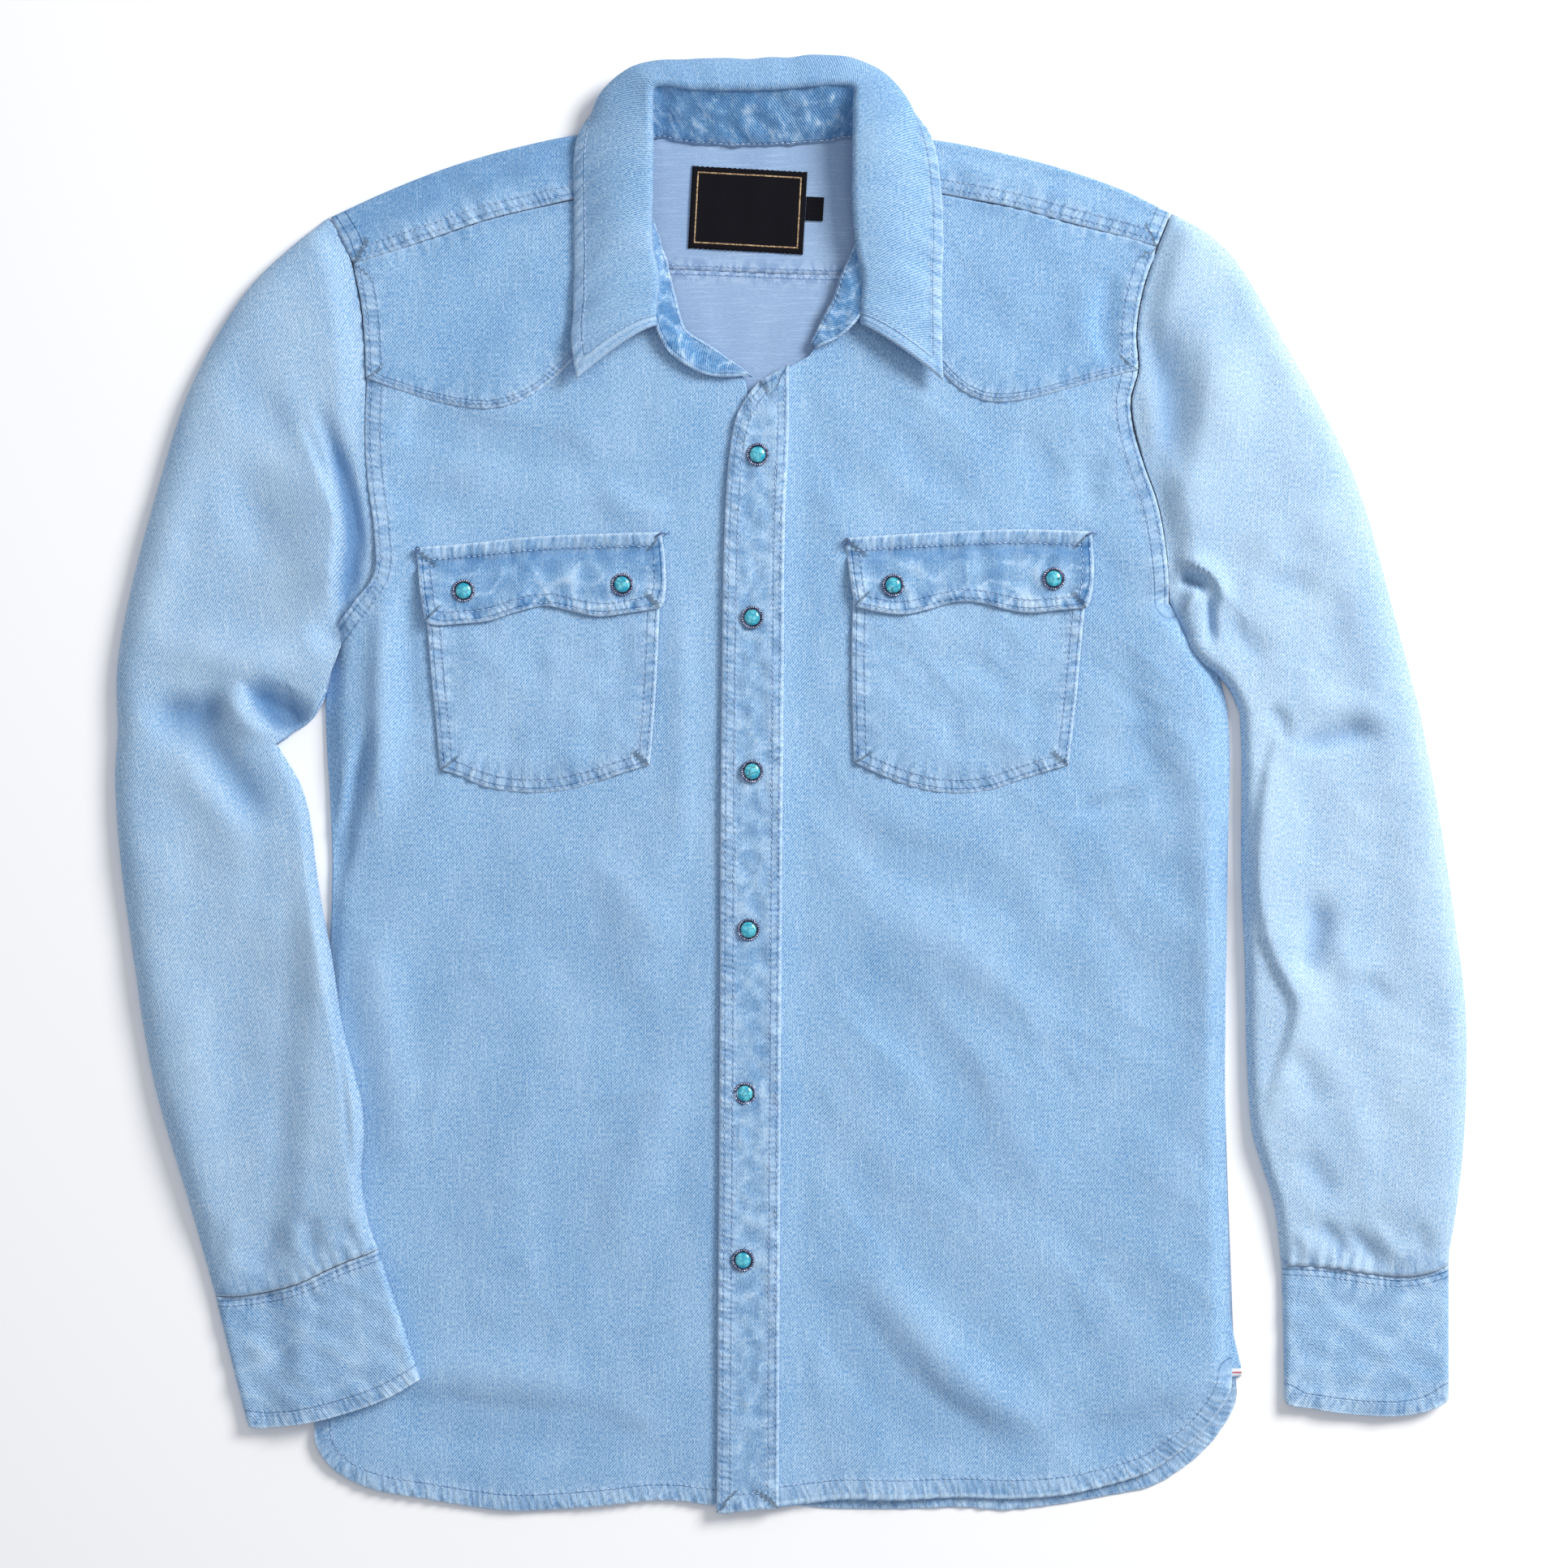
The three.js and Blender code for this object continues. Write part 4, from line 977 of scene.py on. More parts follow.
def shoulderGrid(side):  # plan of the strip that shows in front of the shoulder, with its heights
    fold, shoulder = chain(side["fold"]), chain(side["shoulder"])
    along = np.linspace(0, 1, 75)
    a, b = resample(fold, along), resample(shoulder, along)
    across = np.concatenate([[0, 0.01, 0.035, 0.075, 0.13], np.linspace(0.2, 0.93, 12), [0.975, 1.0]])
    grid = a[:, None] * (1 - across[None, :, None]) + b[:, None] * across[None, :, None]
    reach = np.linalg.norm(b - a, axis=1)[:, None] * across[None, :]
    seams = [seam(shoulder, 7.5, 11, 1.0, seed=51, rows=[2.8, 7.2]),
             seam(chain(side["shoulderTip"]), 6, 6, 0.4, seed=52, rows=[2.6, 8.2])]
    relief, wash = puckers(grid[..., 0], grid[..., 1], seams)
    height = rollHeight(reach) + 1.9 * smooth(4, 16, reach) + relief * smooth(1, 8, reach)
    height += waves(grid[..., 0], grid[..., 1], 30, 53) * 0.5 * smooth(3, 12, reach)
    height[:, -1] -= 0.9
    height[:, -2] -= 0.25
    # painted shade: the right shoulder's strip is darker near its fold, where it faces away from the key
    # light
    if side is rightSide:
        wash = wash - 0.75 * (1 - smooth(14, 24, reach))
    wash += crinkle(grid[..., 0], grid[..., 1] * 1.4, 34, 57) * 0.3
    return grid, height, wash, nearestSeam(grid[..., 0], grid[..., 1], seams)


def shoulderRow(grid, height, inset):  # a stitch row that far from the seam
    total = np.linalg.norm(grid[:, -1] - grid[:, 0], axis=1)
    path = []
    for j in range(2, len(grid) - 1):
        across = np.linalg.norm(grid[j] - grid[j, 0], axis=1)
        at = total[j] - inset
        path.append([np.interp(at, across, grid[j, :, 0]), np.interp(at, across, grid[j, :, 1]),
                     np.interp(at, across, height[j]) + 0.05])
    return np.array(path)


def rolledStrip(grid, height, isFlipped):  # upper and lower face of a strip that turns in under the fold
    x, y = grid[..., 0], grid[..., 1]
    upper = np.stack([x, y, height], -1)
    lower = np.stack([x, y, np.maximum(height - wall, 0)], -1)
    inwards = grid[:, -1] - grid[:, 0]
    inwards /= np.linalg.norm(inwards, axis=1, keepdims=True)

    def tucked(*spots):  # how far in, and how high
        return [np.concatenate([grid[:, 0] + inwards * away, np.full((len(grid), 1), z)], axis=1)
                for away, z in spots]

    lower[:, 0, :2] += inwards * 1.3
    lower[:, 0, 2] = 2.8
    lower[:, 1, :2] += inwards * 0.9
    # the underside of the roll comes back 12 mm beneath the shoulder
    under = tucked((12.0, 0.0), (3.0, 0.05), (1.2, 0.75))
    inside = tucked((12.0, 1.4), (3.2, 1.45), (1.9, 1.9))
    upper = np.concatenate([np.stack(under, axis=1), upper], axis=1)
    lower = np.concatenate([np.stack(inside, axis=1), lower], axis=1)
    return (upper[:, ::-1], lower[:, ::-1]) if isFlipped else (upper, lower)


def buildBackYoke():
    # the flat layer under the neck, then a strip rolled over each shoulder, in one mesh
    strips = [shoulderGrid(rightSide), shoulderGrid(leftSide)]
    points, faces, inside, uvs, washAndShadeParts, seamAts = [], [], [], [], [], []

    def take(upper, lower, isUpsideDown, wash, seamAt):
        total = sum(len(part) for part in points)
        points.append(bothFaces(upper, lower))
        newFaces, isLower = shellFaces(*upper.shape[:2])
        faces.extend([[k + total for k in face] for face in newFaces])
        inside.append(1 - isLower if isUpsideDown else isLower)
        uvs.append(twice(upper[..., :2].reshape(-1, 2)))
        washAndShadeParts.append(twice(wash.ravel()))
        seamAts.append(twice(seamAt.reshape(-1, 6)))

    for isFlipped, (grid, height, wash, seamAt) in enumerate(strips):
        padded = [np.concatenate([np.repeat(a[:, :1], 3, axis=1), a], axis=1) for a in (wash, seamAt)]
        if isFlipped:
            padded = [a[:, ::-1] for a in padded]
        take(*rolledStrip(grid, height, isFlipped), False, *padded)
    top = np.vstack([denseCurve(rightSide["fold"])[:, :2] + np.array([2, -9]),
                     denseCurve([[-84, 356], [-77, 357], [-32, 356], [36.5, 357], [43, 356]]),
                     denseCurve(leftSide["fold"])[::-1, :2] + np.array([-2, -9])])
    grid = patch(chain(backSeam) + np.array([0, 0.3]), top, chain([backSeam[0], top[0].tolist()]),
                 chain([backSeam[-1], top[-1].tolist()]), 3.6)
    x, y = grid[..., 0], grid[..., 1]
    seams = [seam(chain(backSeam), 6, 7, 0.5, seed=55)]
    relief, wash = puckers(x, y, seams)
    height = 1.5 + relief + waves(x, y, 50, 56) * 0.2
    take(np.stack([x, y, height], -1), np.stack([x, y, 0 * x], -1), True, wash, nearestSeam(x, y, seams))
    piece = newMesh("backYoke", np.vstack(points), faces, np.vstack(uvs), np.concatenate(washAndShadeParts),
                    np.vstack(seamAts), np.concatenate(inside))
    area = planArea(grid) + sum(planArea(strip) for strip, *_ in strips)
    finishSheet(piece, denimYoke, "back_yoke", area, "floor")
    return strips


buildYokes()


# pockets and flaps

pockets = dict(
    Right=dict(bottom=[[-191.5, 9], [-181, 5.5], [-167, -0.5], [-139, -3.8], [-122, -2], [-108, 1.5],
                       [-92, 7], [-77, 11.5]],
               left=[[-191.5, 9], [-194, 36], [-196.5, 62], [-200.5, 118]],
               right=[[-77, 11.5], [-74.5, 40], [-72.5, 75], [-71, 122]], top=[[-200.5, 118], [-71, 122]],
               flapBottom=[[-199.5, 90], [-196, 87.8], [-180, 88.5], [-165, 90], [-150, 94.8],
                           [-134, 98.3], [-120, 95.5], [-105, 92.5], [-88, 94.5], [-71.5, 97]],
               flapLeft=[[-199.5, 90], [-202.5, 108], [-203.8, 122], [-204.8, 130]],
               flapRight=[[-71.5, 97], [-69, 100], [-68.2, 118], [-70.5, 138.8]],
               flapTop=[[-204.8, 130], [-180, 132.3], [-139, 136.4], [-100, 138], [-70.5, 138.8]],
               folds=[([[-186, 78], [-160, 66], [-140, 40]], 0.9, 8, 8),
                      ([[-90, 80], [-100, 50]], -0.7, 7, 7),
                      ([[-180, 30], [-150, 22], [-120, 30]], -0.7, 8, 9)]),
    Left=dict(bottom=[[34.5, 13], [45, 8], [62, 1], [78, -3], [92, -4], [108, -2.5], [125, 3], [140, 8],
                      [152, 11.3]],
              left=[[34.5, 13], [33.5, 50], [33.5, 85], [35, 122]],
              right=[[152, 11.3], [156, 46], [159, 80], [163, 124]], top=[[35, 122], [163, 124]],
              flapBottom=[[35, 98], [43, 96], [54, 94], [64, 93.8], [76, 96.5], [88, 100], [97, 100.6],
                          [108, 99], [120, 95.8], [132, 94.5], [146, 95.8], [161, 97]],
              flapLeft=[[35, 98], [33.5, 106], [31.5, 120], [29.8, 135.5]],
              flapRight=[[161, 97], [163.5, 100], [165.5, 118], [164.5, 139]],
              flapTop=[[29.8, 135.5], [60, 137.6], [100, 139.6], [125, 140.3], [164.5, 139]],
              folds=[([[44, 78], [66, 70], [104, 62], [122, 50]], -0.9, 8, 8),
                     ([[60, 30], [90, 24], [130, 34]], 0.8, 9, 9)]),
)


def edgeRows(topOf, seams, bottom, left, right, insets, trim):  # stitch rows round three edges
    rows = []
    for inset in insets:
        for edge, away, end in ((bottom, inset, inset), (left, -inset, trim), (right, inset, trim)):
            rows.append(rowOn(topOf, insetRun(edge, away, inset, end), seams))
    return rows


def buildPocket(name, shape):  # returns its stitch rows
    bottom, left, right = (chain(shape[k]) for k in ("bottom", "left", "right"))

    def bagTop(x, y):
        belly = 1.5 * smooth(0, 18, y + 2) * smooth(0, 50, 130 - y)
        folds = foldsOf(shape["folds"], x, y)
        return fronts[name]["topOf"](x, y) + 1.5 + belly + folds + waves(x, y, 18, 61) * 0.2

    grid = patch(bottom, chain(shape["top"]), left, right, 2.0)
    seams = [seam(bottom, 8.2, 13, 1.2, seed=61, rows=[2.2, 6.6]),
             seam(left, 8.5, 8, 0.8, seed=62, slant=0.5, rows=[2.2, 6.6]),
             seam(right, 8.5, 8, 0.8, seed=63, slant=-0.5, rows=[2.2, 6.6])]
    bag = flatPiece("pocket" + name, grid, bagTop, seams, roundness=1.8)
    finishSheet(bag, denimPocket, "pocket_" + name.lower(), planArea(grid),
                "front" + name)
    return edgeRows(bagTop, seams, bottom, left, right, (2.0, 6.6), 30) + buildFlap(name, shape, bagTop)


def buildFlap(name, shape, bagTop):  # returns its stitch rows
    bottom, left, right, top = (chain(shape["flap" + k]) for k in ("Bottom", "Left", "Right", "Top"))
    topLine = resample(top, np.linspace(0, 1, 12))

    def flapTop(x, y):
        fall = np.abs(nearest(x, y, topLine)[0])
        tuck = -2.1 * np.exp(-((fall - 9.4) / 2.4) ** 2)
        lift = 1.7 + 1.6 * smooth(8, 26, fall)
        wrinkled = crinkle(x * 1.2, y, 27, 70) * 0.45 * smooth(12, 20, fall)
        return bagTop(x, np.minimum(y, 112)) + lift + tuck + wrinkled + waves(x, y * 1.4, 17, 65) * 0.35

    def clothMarks(x, y):
        fall = np.abs(nearest(x, y, topLine)[0])
        wrinkled = crinkle(x * 1.2, y, 27, 70) * 1.1 + waves(x, y, 20, 64) * 0.3
        # painted shade: a dark band in the groove under the flap's top stitch row
        shade = -0.95 * np.exp(-((fall - 11.5 - waves(x, y, 24, 59) * 1.5) / 5) ** 2)
        return shade + wrinkled * smooth(10, 20, fall)

    grid = patch(bottom, top, left, right, 1.9)
    seams = [seam(bottom, 6, 8, 0.7, seed=66, rows=[2.2, 6.6]),
             seam(top, 5.2, 6, 1.1, seed=67, rows=[7.6]),
             seam(left, 6, 6, 0.5, seed=68, rows=[2.6, 6.4]),
             seam(right, 6, 6, 0.5, seed=69, rows=[2.6, 6.4])]
    flap = flatPiece("flap" + name, grid, flapTop, seams, thickness=1.8, roundness=1.8, fadeAndShadeOf=clothMarks)
    finishSheet(flap, denimFlap, "flap_" + name.lower(), planArea(grid),
                "pocket" + name)
    shape["flapHeight"] = flapTop
    rows = edgeRows(flapTop, seams, bottom, left, right, (1.9, 6.4), 8)
    return rows + [rowOn(flapTop, insetRun(top, -7.4, 5, 5), seams)]


# paths of the loose threads at the flaps' corners, from the corner
knot = [(1, -2, 0), (-1.6, -1.2, 0.5), (-1.2, 1.2, 0.9), (0.8, 0.6, 0.7), (-0.4, -1.4, 0.9),
        (-2.2, -2.6, 0)]
tail = [(-2, -1, 0), (1, 0.6, 0.2), (3.6, 0.2, -2.2), (5.6, 1.6, -3.2)]


def buildPockets():
    rows = [row for name, shape in pockets.items() for row in buildPocket(name, shape)]
    stitchMesh("stitchesPockets", rows)
    ends = []
    for name, x, y, path in (("Right", -203, 129, knot), ("Left", 31.5, 134, knot),
                             ("Right", -71.5, 137.5, tail), ("Left", 163.5, 137.5, tail)):
        z = pockets[name]["flapHeight"](np.array([x]), np.array([y]))[0] + 0.6
        ends.append(np.array(path) + [x, y, z])
    threadEnds("threadEnds", ends, threadNavy)
    print("pockets and flaps")


buildPockets()


# sleeves and cuffs

sleeves = dict(
    Right=dict(
        outer=[[[-253, 311.5], [-275, 294], [-298, 271], [-327, 222], [-349, 155], [-364.5, 93],
                [-369, 62], [-368.5, 30]],
               [[-368.5, 30], [-370, 4], [-367, -41], [-360, -94], [-349, -161], [-327, -236.5],
                [-315, -279]]],
        inner=[[[-250, 83], [-251, 69], [-253, 55], [-257, 43.5], [-264, 34.5], [-274, 28.5], [-283, 25.5]],
               [[-283, 25.5], [-276, 14], [-269, 2], [-264, -14], [-259, -50], [-250.5, -94], [-245, -130],
                [-240, -150], [-235, -170], [-233, -188], [-234.5, -212], [-231, -237], [-225.5, -253]]],
        cuffSeam=[[-315, -279], [-300, -278.5], [-285, -276], [-268, -271], [-248, -261.5], [-225.5, -253]],
        away=1.3, radius=(14, 8), turn=0.19, seed=71, creaseTurn=0.5, cloth=denimSleeveRight),
    Left=dict(
        outer=[[[208.8, 313.7], [228, 303], [243, 289], [270, 244], [299, 191], [313, 158], [326, 112],
                [335.5, 76], [345, 40]],
               [[345, 40], [355, -14], [365, -81], [370, -125], [369, -192], [363.5, -240], [361, -254],
                [360.5, -262]]],
        inner=[[[207.6, 100], [214, 86], [219, 74], [226, 66], [232, 62], [240, 53], [246, 40]],
               [[246, 40], [247, 20], [247, -50], [249, -100], [250, -150], [253, -190], [258, -207],
                [265, -230], [269, -262]]],
        cuffSeam=[[360.5, -262], [350, -265.5], [336, -268], [318, -266.5], [300, -263.5], [284, -262],
                  [269, -261.5]],
        away=-1.3, radius=(10, 6), turn=-0.08, seed=72, creaseTurn=-0.4, cloth=denimSleeveLeft),
)

# columns: path, rise, width to its left, width to its right
sleeveFolds = dict(
    Right=[
        ([[-318, 200], [-337, 140], [-350, 80], [-352, 55]], 1.6, 9, 10),
        ([[-300, 214], [-285, 205], [-268, 178], [-256, 160]], -1.8, 9, 12),
        ([[-306, 190], [-290, 140], [-280, 110]], -0.9, 12, 10),
        ([[-272, 204], [-262, 182], [-254, 163], [-249, 150], [-247.5, 138], [-249, 122], [-251, 100],
          [-253, 80]], 6.0, 1.5, 22),
        ([[-262, 212], [-251, 184], [-245.5, 162], [-242.5, 147], [-241.5, 134], [-243, 120], [-246, 98],
          [-249, 76]], -9.5, 7, 2.0),
        ([[-352, 32], [-337, 39], [-320, 41], [-304, 50]], -6.5, 9, 12),
        ([[-350, 64], [-322, 72], [-300, 66], [-282, 68], [-262, 76]], 3.0, 12, 12),
        ([[-304, 58], [-293, 43], [-282, 27]], 5.6, 1.9, 15),
        ([[-302, 60], [-288, 42], [-272, 36], [-256, 42]], -9.0, 14, 7),
        ([[-340, 36], [-322, 26], [-306, 6], [-292, -14], [-280, -24]], -4.6, 11, 9),
        ([[-348, 16], [-326, 4], [-308, -18], [-292, -50]], 2.6, 12, 12),
        ([[-264, -60], [-258, -90], [-252, -130]], 1.6, 4, 9),
        ([[-262, -45], [-252, -95], [-246.5, -135], [-243, -165], [-240, -200], [-232, -238]],
         -1.6, 1.8, 1.6),
        ([[-296, -60], [-300, -120], [-288, -190]], -1.0, 15, 15),
        ([[-330, -80], [-326, -150], [-308, -230]], 1.1, 12, 14),
        ([[-258, -232], [-262, -246], [-256, -258]], -1.8, 5, 6),
        ([[-278, -238], [-288, -256], [-292, -270]], -1.6, 5, 6),
        ([[-240, -236], [-244, -250]], -1.4, 4, 5),
        ([[-302, -232], [-306, -254], [-304, -270]], 1.3, 6, 6),
        ([[-268, -236], [-274, -256]], 1.4, 5, 5),
    ],
    Left=[
        ([[232, 262], [228, 215], [222, 178], [210, 143], [205, 130]], 3.4, 24, 9),
        ([[196, 262], [204, 225], [207, 190], [203, 160]], -5.0, 12, 8),
        ([[206, 124], [218, 121], [229, 115], [235, 105], [235, 95]], 3.8, 6, 1.8),
        ([[211, 116], [220, 111], [229, 105]], -6.0, 4, 3.2),
        ([[212, 92], [219, 103], [226, 111]], 3.4, 2.6, 3),
        ([[229, 108], [229, 92], [231, 74]], -4.2, 2.6, 2.6),
        ([[216, 100], [214, 88], [221, 76]], -2.4, 4, 4),
        ([[240, 120], [262, 138], [290, 152], [305, 158]], 2.2, 9, 14),
        ([[236, 96], [250, 78], [262, 66]], -1.8, 7, 7),
        ([[252, 118], [268, 110], [290, 112]], -1.6, 8, 8),
        ([[296, 112], [300, 90], [296, 72]], -1.0, 8, 8),
        ([[246, 52], [256, 42], [266, 31], [262, 14], [257, -14], [255, -54], [260, -84], [268, -102],
          [276, -119], [272, -140], [264, -165], [261, -190], [260, -207]], 4.6, 16, 2.4),
        ([[270, 20], [292, 24], [312, 28], [326, 25]], -3.6, 8, 4.5),
        ([[276, 40], [300, 44], [330, 34]], 2.4, 10, 8),
        ([[258, 44], [268, 34], [266, 22]], -2.4, 5, 5),
        ([[276, -60], [288, -72], [284, -92], [274, -112]], -4.0, 8, 7),
        ([[292, -76], [306, -100], [318, -112]], 1.8, 9, 8),
        ([[300, -104], [318, -110], [330, -124]], -1.6, 6, 6),
        ([[268, -140], [282, -158], [286, -180]], -2.4, 8, 8),
        ([[300, -140], [306, -180], [318, -214]], 1.6, 10, 10),
        ([[274, -196], [290, -214], [298, -232]], -1.9, 7, 7),
        ([[286, -236], [300, -250], [306, -262]], -2.3, 4, 5),
        ([[302, -238], [314, -252], [324, -264]], -2.3, 4, 5),
        ([[318, -236], [326, -250], [338, -262]], 1.8, 5, 5),
        ([[274, -240], [284, -254], [288, -262]], 1.8, 5, 4),
        ([[340, -236], [346, -252], [350, -262]], -1.4, 5, 5),
    ],
)


def bodyEdge(y):
    return -251 - 11 * smooth(-50, -330, y)


def sleeveUnder(name, x, y):  # the right sleeve lies on the body's edge, the left one beside it
    if name == "Left":
        return 0 * x
    return 5.6 * (smooth(-35, -80, y) * smooth(bodyEdge(y) - 26, bodyEdge(y) - 4, x))


def sleeveRise(name, x, y, across):
    shape, body = sleeves[name], fronts[name]["side"]
    line = chain(body["armhole"] + body["shoulderTip"][1:])
    near = np.abs(nearest(x, y, resample(line, np.linspace(0, 1, 26)))[0])
    start = smooth(0, 17, near)
    crown = 6.6 + 5.8 * start + 2.0 * np.exp(-((across - 0.16) / 0.16) ** 2) * start
    taper = 1 - 0.3 * smooth(-225, -262, y)
    ripple = waves(x, y * 0.6, 38, shape["seed"]) * 0.4 + creases(x, y, shape["creaseTurn"], 73) * 0.9
    return crown * taper + (foldsOf(sleeveFolds[name], x, y) * 1.25 + ripple) * smooth(0, 8, near)


def buildSleeve(name, shape):
    body = fronts[name]["side"]
    armhole = chain(body["shoulderTip"][::-1], body["armhole"][::-1]) + np.array([shape["away"], 0])
    cuffSeam = chain(shape["cuffSeam"])
    above, below = np.linspace(0, 1, 96), np.linspace(0, 1, 118)  # rows above and below the elbow

    def joined(runs, upperStops):
        upper, lower = (denseCurve(run) for run in runs)
        return np.vstack([resample(upper, upperStops), resample(lower, below)[1:]])

    outer, inner = joined(shape["outer"], above), joined(shape["inner"], above ** 1.35)
    u = stops(118, 2.6, (0.6, 1.6))
    v = (lengths(outer) / lengths(outer)[-1] + lengths(inner) / lengths(inner)[-1]) / 2
    grid = filled(resample(armhole, u), resample(cuffSeam, u), outer, inner, u, v)
    seams = [seam(cuffSeam, 6.5, 12, 1.0, seed=75, rows=[]), seam(armhole, 8, 5, 0.3, seed=76, fade=0.0)]
    # the folds tint the sleeve: painted shade in their troughs, with ridges only a little paler
    piece, _ = pressedTube("sleeve" + name, grid, partial(sleeveUnder, name), partial(sleeveRise, name),
                           seams, 1.2, shape["radius"], shape["turn"],
                           lambda x, y: np.clip(foldsOf(sleeveFolds[name], x, y) * 0.22, -1.6, 0.3))
    finishSheet(piece, shape["cloth"], "sleeve_" + name.lower(),
                2 * planArea(grid), "floor")


cuffs = dict(
    Right=dict(end=[[-297.5, -349.5], [-294, -351], [-263, -347.5], [-240, -341.5], [-220, -334],
                    [-202.5, -324]],
               outer=[[-315, -279.5], [-310, -300], [-303, -328], [-297.5, -349.5]],
               inner=[[-225.4, -253.5], [-218, -276], [-210, -300], [-202.5, -324]],
               folds=[([[-300, -290], [-290, -310], [-288, -335]], 1.0, 8, 8),
                      ([[-280, -284], [-275, -305], [-282, -330]], -1.0, 6, 7),
                      ([[-255, -275], [-262, -300]], -0.7, 6, 6),
                      ([[-240, -300], [-232, -325]], 0.7, 7, 7)],
               seed=83),
    Left=dict(end=[[360.5, -334.5], [357, -338], [339, -344], [310, -344], [285, -340.5], [272, -338],
                   [270.5, -335]],
              outer=[[360.5, -262.5], [360.5, -300], [360.5, -334.5]],
              inner=[[269, -262], [270, -298], [270.5, -335]],
              folds=[([[290, -275], [310, -285], [335, -282]], -1.0, 6, 6),
                     ([[346, -275], [330, -300], [320, -325]], 0.9, 8, 8),
                     ([[340, -285], [322, -305]], -0.8, 5, 5)],
              seed=84),
)


def buildCuff(name, shape):  # returns its stitch rows
    seamLine = chain(sleeves[name]["cuffSeam"]) + np.array([0, -0.5])
    end, folds = chain(shape["end"]), shape["folds"]
    grid = patch(seamLine, end, chain(shape["outer"]), chain(shape["inner"]), 2.1, (0.5, 1.4))
    seams = [seam(end, 6.5, 9, 0.8, seed=81, rows=[7.8]),
             seam(seamLine, 6, 8, 0.7, seed=82, rows=[2.4, 5.4])]

    def rise(x, y, across):
        return 7.2 + foldsOf(folds, x, y) + waves(x, y, 16, shape["seed"]) * 0.45

    # the cuff's folds tint it as painted shade in troughs and painted light on ridges; its crinkles are
    # real wear
    piece, top = pressedTube("cuff" + name, grid, partial(sleeveUnder, name), rise, seams, 1.8, (4, 4), 1.4,
                             lambda x, y: foldsOf(folds, x, y) * 0.3 + crinkle(x, y, 38, 85) * 0.6)
    finishSheet(piece, denimCuff, "cuff_" + name.lower(), 2 * planArea(grid),
                "floor")
    depth = lengths(top[:, 20])
    nearestRows = [int(np.argmin(np.abs(depth - away))) for away in (2.2, 5.0, depth[-1] - 7.6)]
    return [top[j, 3:-3] + np.array([0, 0, 0.05]) for j in nearestRows]


def buildSleeves():
    for name, shape in sleeves.items():
        buildSleeve(name, shape)
    stitchMesh("stitchesCuffs", [row for name, shape in cuffs.items() for row in buildCuff(name, shape)])
    print("sleeves and cuffs")


buildSleeves()


# collar

leafSections = [
    ((-76.5, 250, 14), (-92, 243, 19), (-116.5, 222, 15)),
    ((-76, 262, 14), (-98, 256, 17), (-119.5, 241, 12)),
    ((-75, 277, 14.5), (-97, 275, 17), (-118.5, 265, 9.5)),
    ((-78.5, 294, 15.5), (-97, 292, 18), (-118, 290, 8.4)),
    ((-78.5, 320, 18), (-98, 320, 20), (-118, 316, 8.2)),
    ((-78, 348, 21), (-100, 354, 21), (-115.5, 357, 8.0)),
    ((-78, 370, 23.5), (-113, 382, 16), (-102, 369, 3.4)),
    ((-76, 381.5, 24.5), (-98, 403, 15), (-80, 372, 1.4)),
    ((-52, 381, 24.5), (-53, 415, 13), (-52, 366, 1.4)),
    ((-10, 381, 24.5), (-10, 416.5, 13), (-10, 365, 1.4)),
    ((22, 383.5, 24.5), (23, 417.5, 13), (22, 366, 1.4)),
    ((36, 381.5, 24.5), (56, 403, 15), (40, 371, 1.4)),
    ((37, 370, 23.5), (72, 380, 16), (62, 368, 3.4)),
    ((37, 348, 21), (58, 354, 21), (76, 355.5, 8.0)),
    ((37, 320, 18), (59, 320, 20), (83, 316, 8.2)),
    ((39, 294, 15.5), (61, 292, 18), (83, 290, 8.4)),
    ((42.5, 277, 14.5), (62, 273, 17), (82.3, 265, 9.5)),
    ((41.5, 262, 14), (62, 254, 17), (82.5, 241, 12)),
    ((41.5, 250.5, 14), (60, 240, 19), (83, 221, 15)),
]
standSections = [
    ((-20, 223.6, 6.4), (-24, 224.6, 7.4)),
    ((-34, 234, 6.4), (-35, 223.4, 8.4)),
    ((-46, 242, 6.4), (-50, 226, 9.6)),
    ((-57, 250, 6.6), (-67, 238, 11)),
    ((-63, 268, 7.2), (-75, 256, 12)),
    ((-68, 288, 7.2), (-74.5, 276, 12.5)),
    ((-74, 306, 7.2), (-77.5, 294, 13.5)),
    ((-80, 322, 7.0), (-78.2, 318, 16.5)),
    ((-82, 338, 6.8), (-77.8, 342, 19)),
    ((-80, 351, 6.2), (-77.6, 360, 21.5)),
    ((-75.5, 354.8, 3), (-76, 381.5, 23)),
    ((-50, 351.5, 2.6), (-50, 381, 23)),
    ((-20, 350.5, 2.6), (-20, 381, 23)),
    ((18, 352.5, 2.6), (18, 383, 23)),
    ((35.5, 354.8, 3), (35.5, 381, 23)),
    ((41, 350, 6.2), (37, 360, 21.5)),
    ((44, 337, 6.8), (37, 342, 19)),
    ((43, 318, 7.0), (37.2, 318, 16.5)),
    ((37, 300, 7.2), (38.6, 294, 13.5)),
    ((29, 283, 7.2), (42, 277, 12.5)),
    ((22, 264, 7.2), (41, 262, 12)),
    ((15, 251, 7.0), (30, 247.5, 11)),
    ((11, 242.5, 7.0), (14, 239, 8.4)),
]


def loft(sections, rows):  # sections of points, smooth from one to the next
    sections = np.array(sections, float)
    columns = [resample(denseCurve(sections[:, k], 12), np.linspace(0, 1, rows))
               for k in range(sections.shape[1])]
    return np.stack(columns, axis=1)


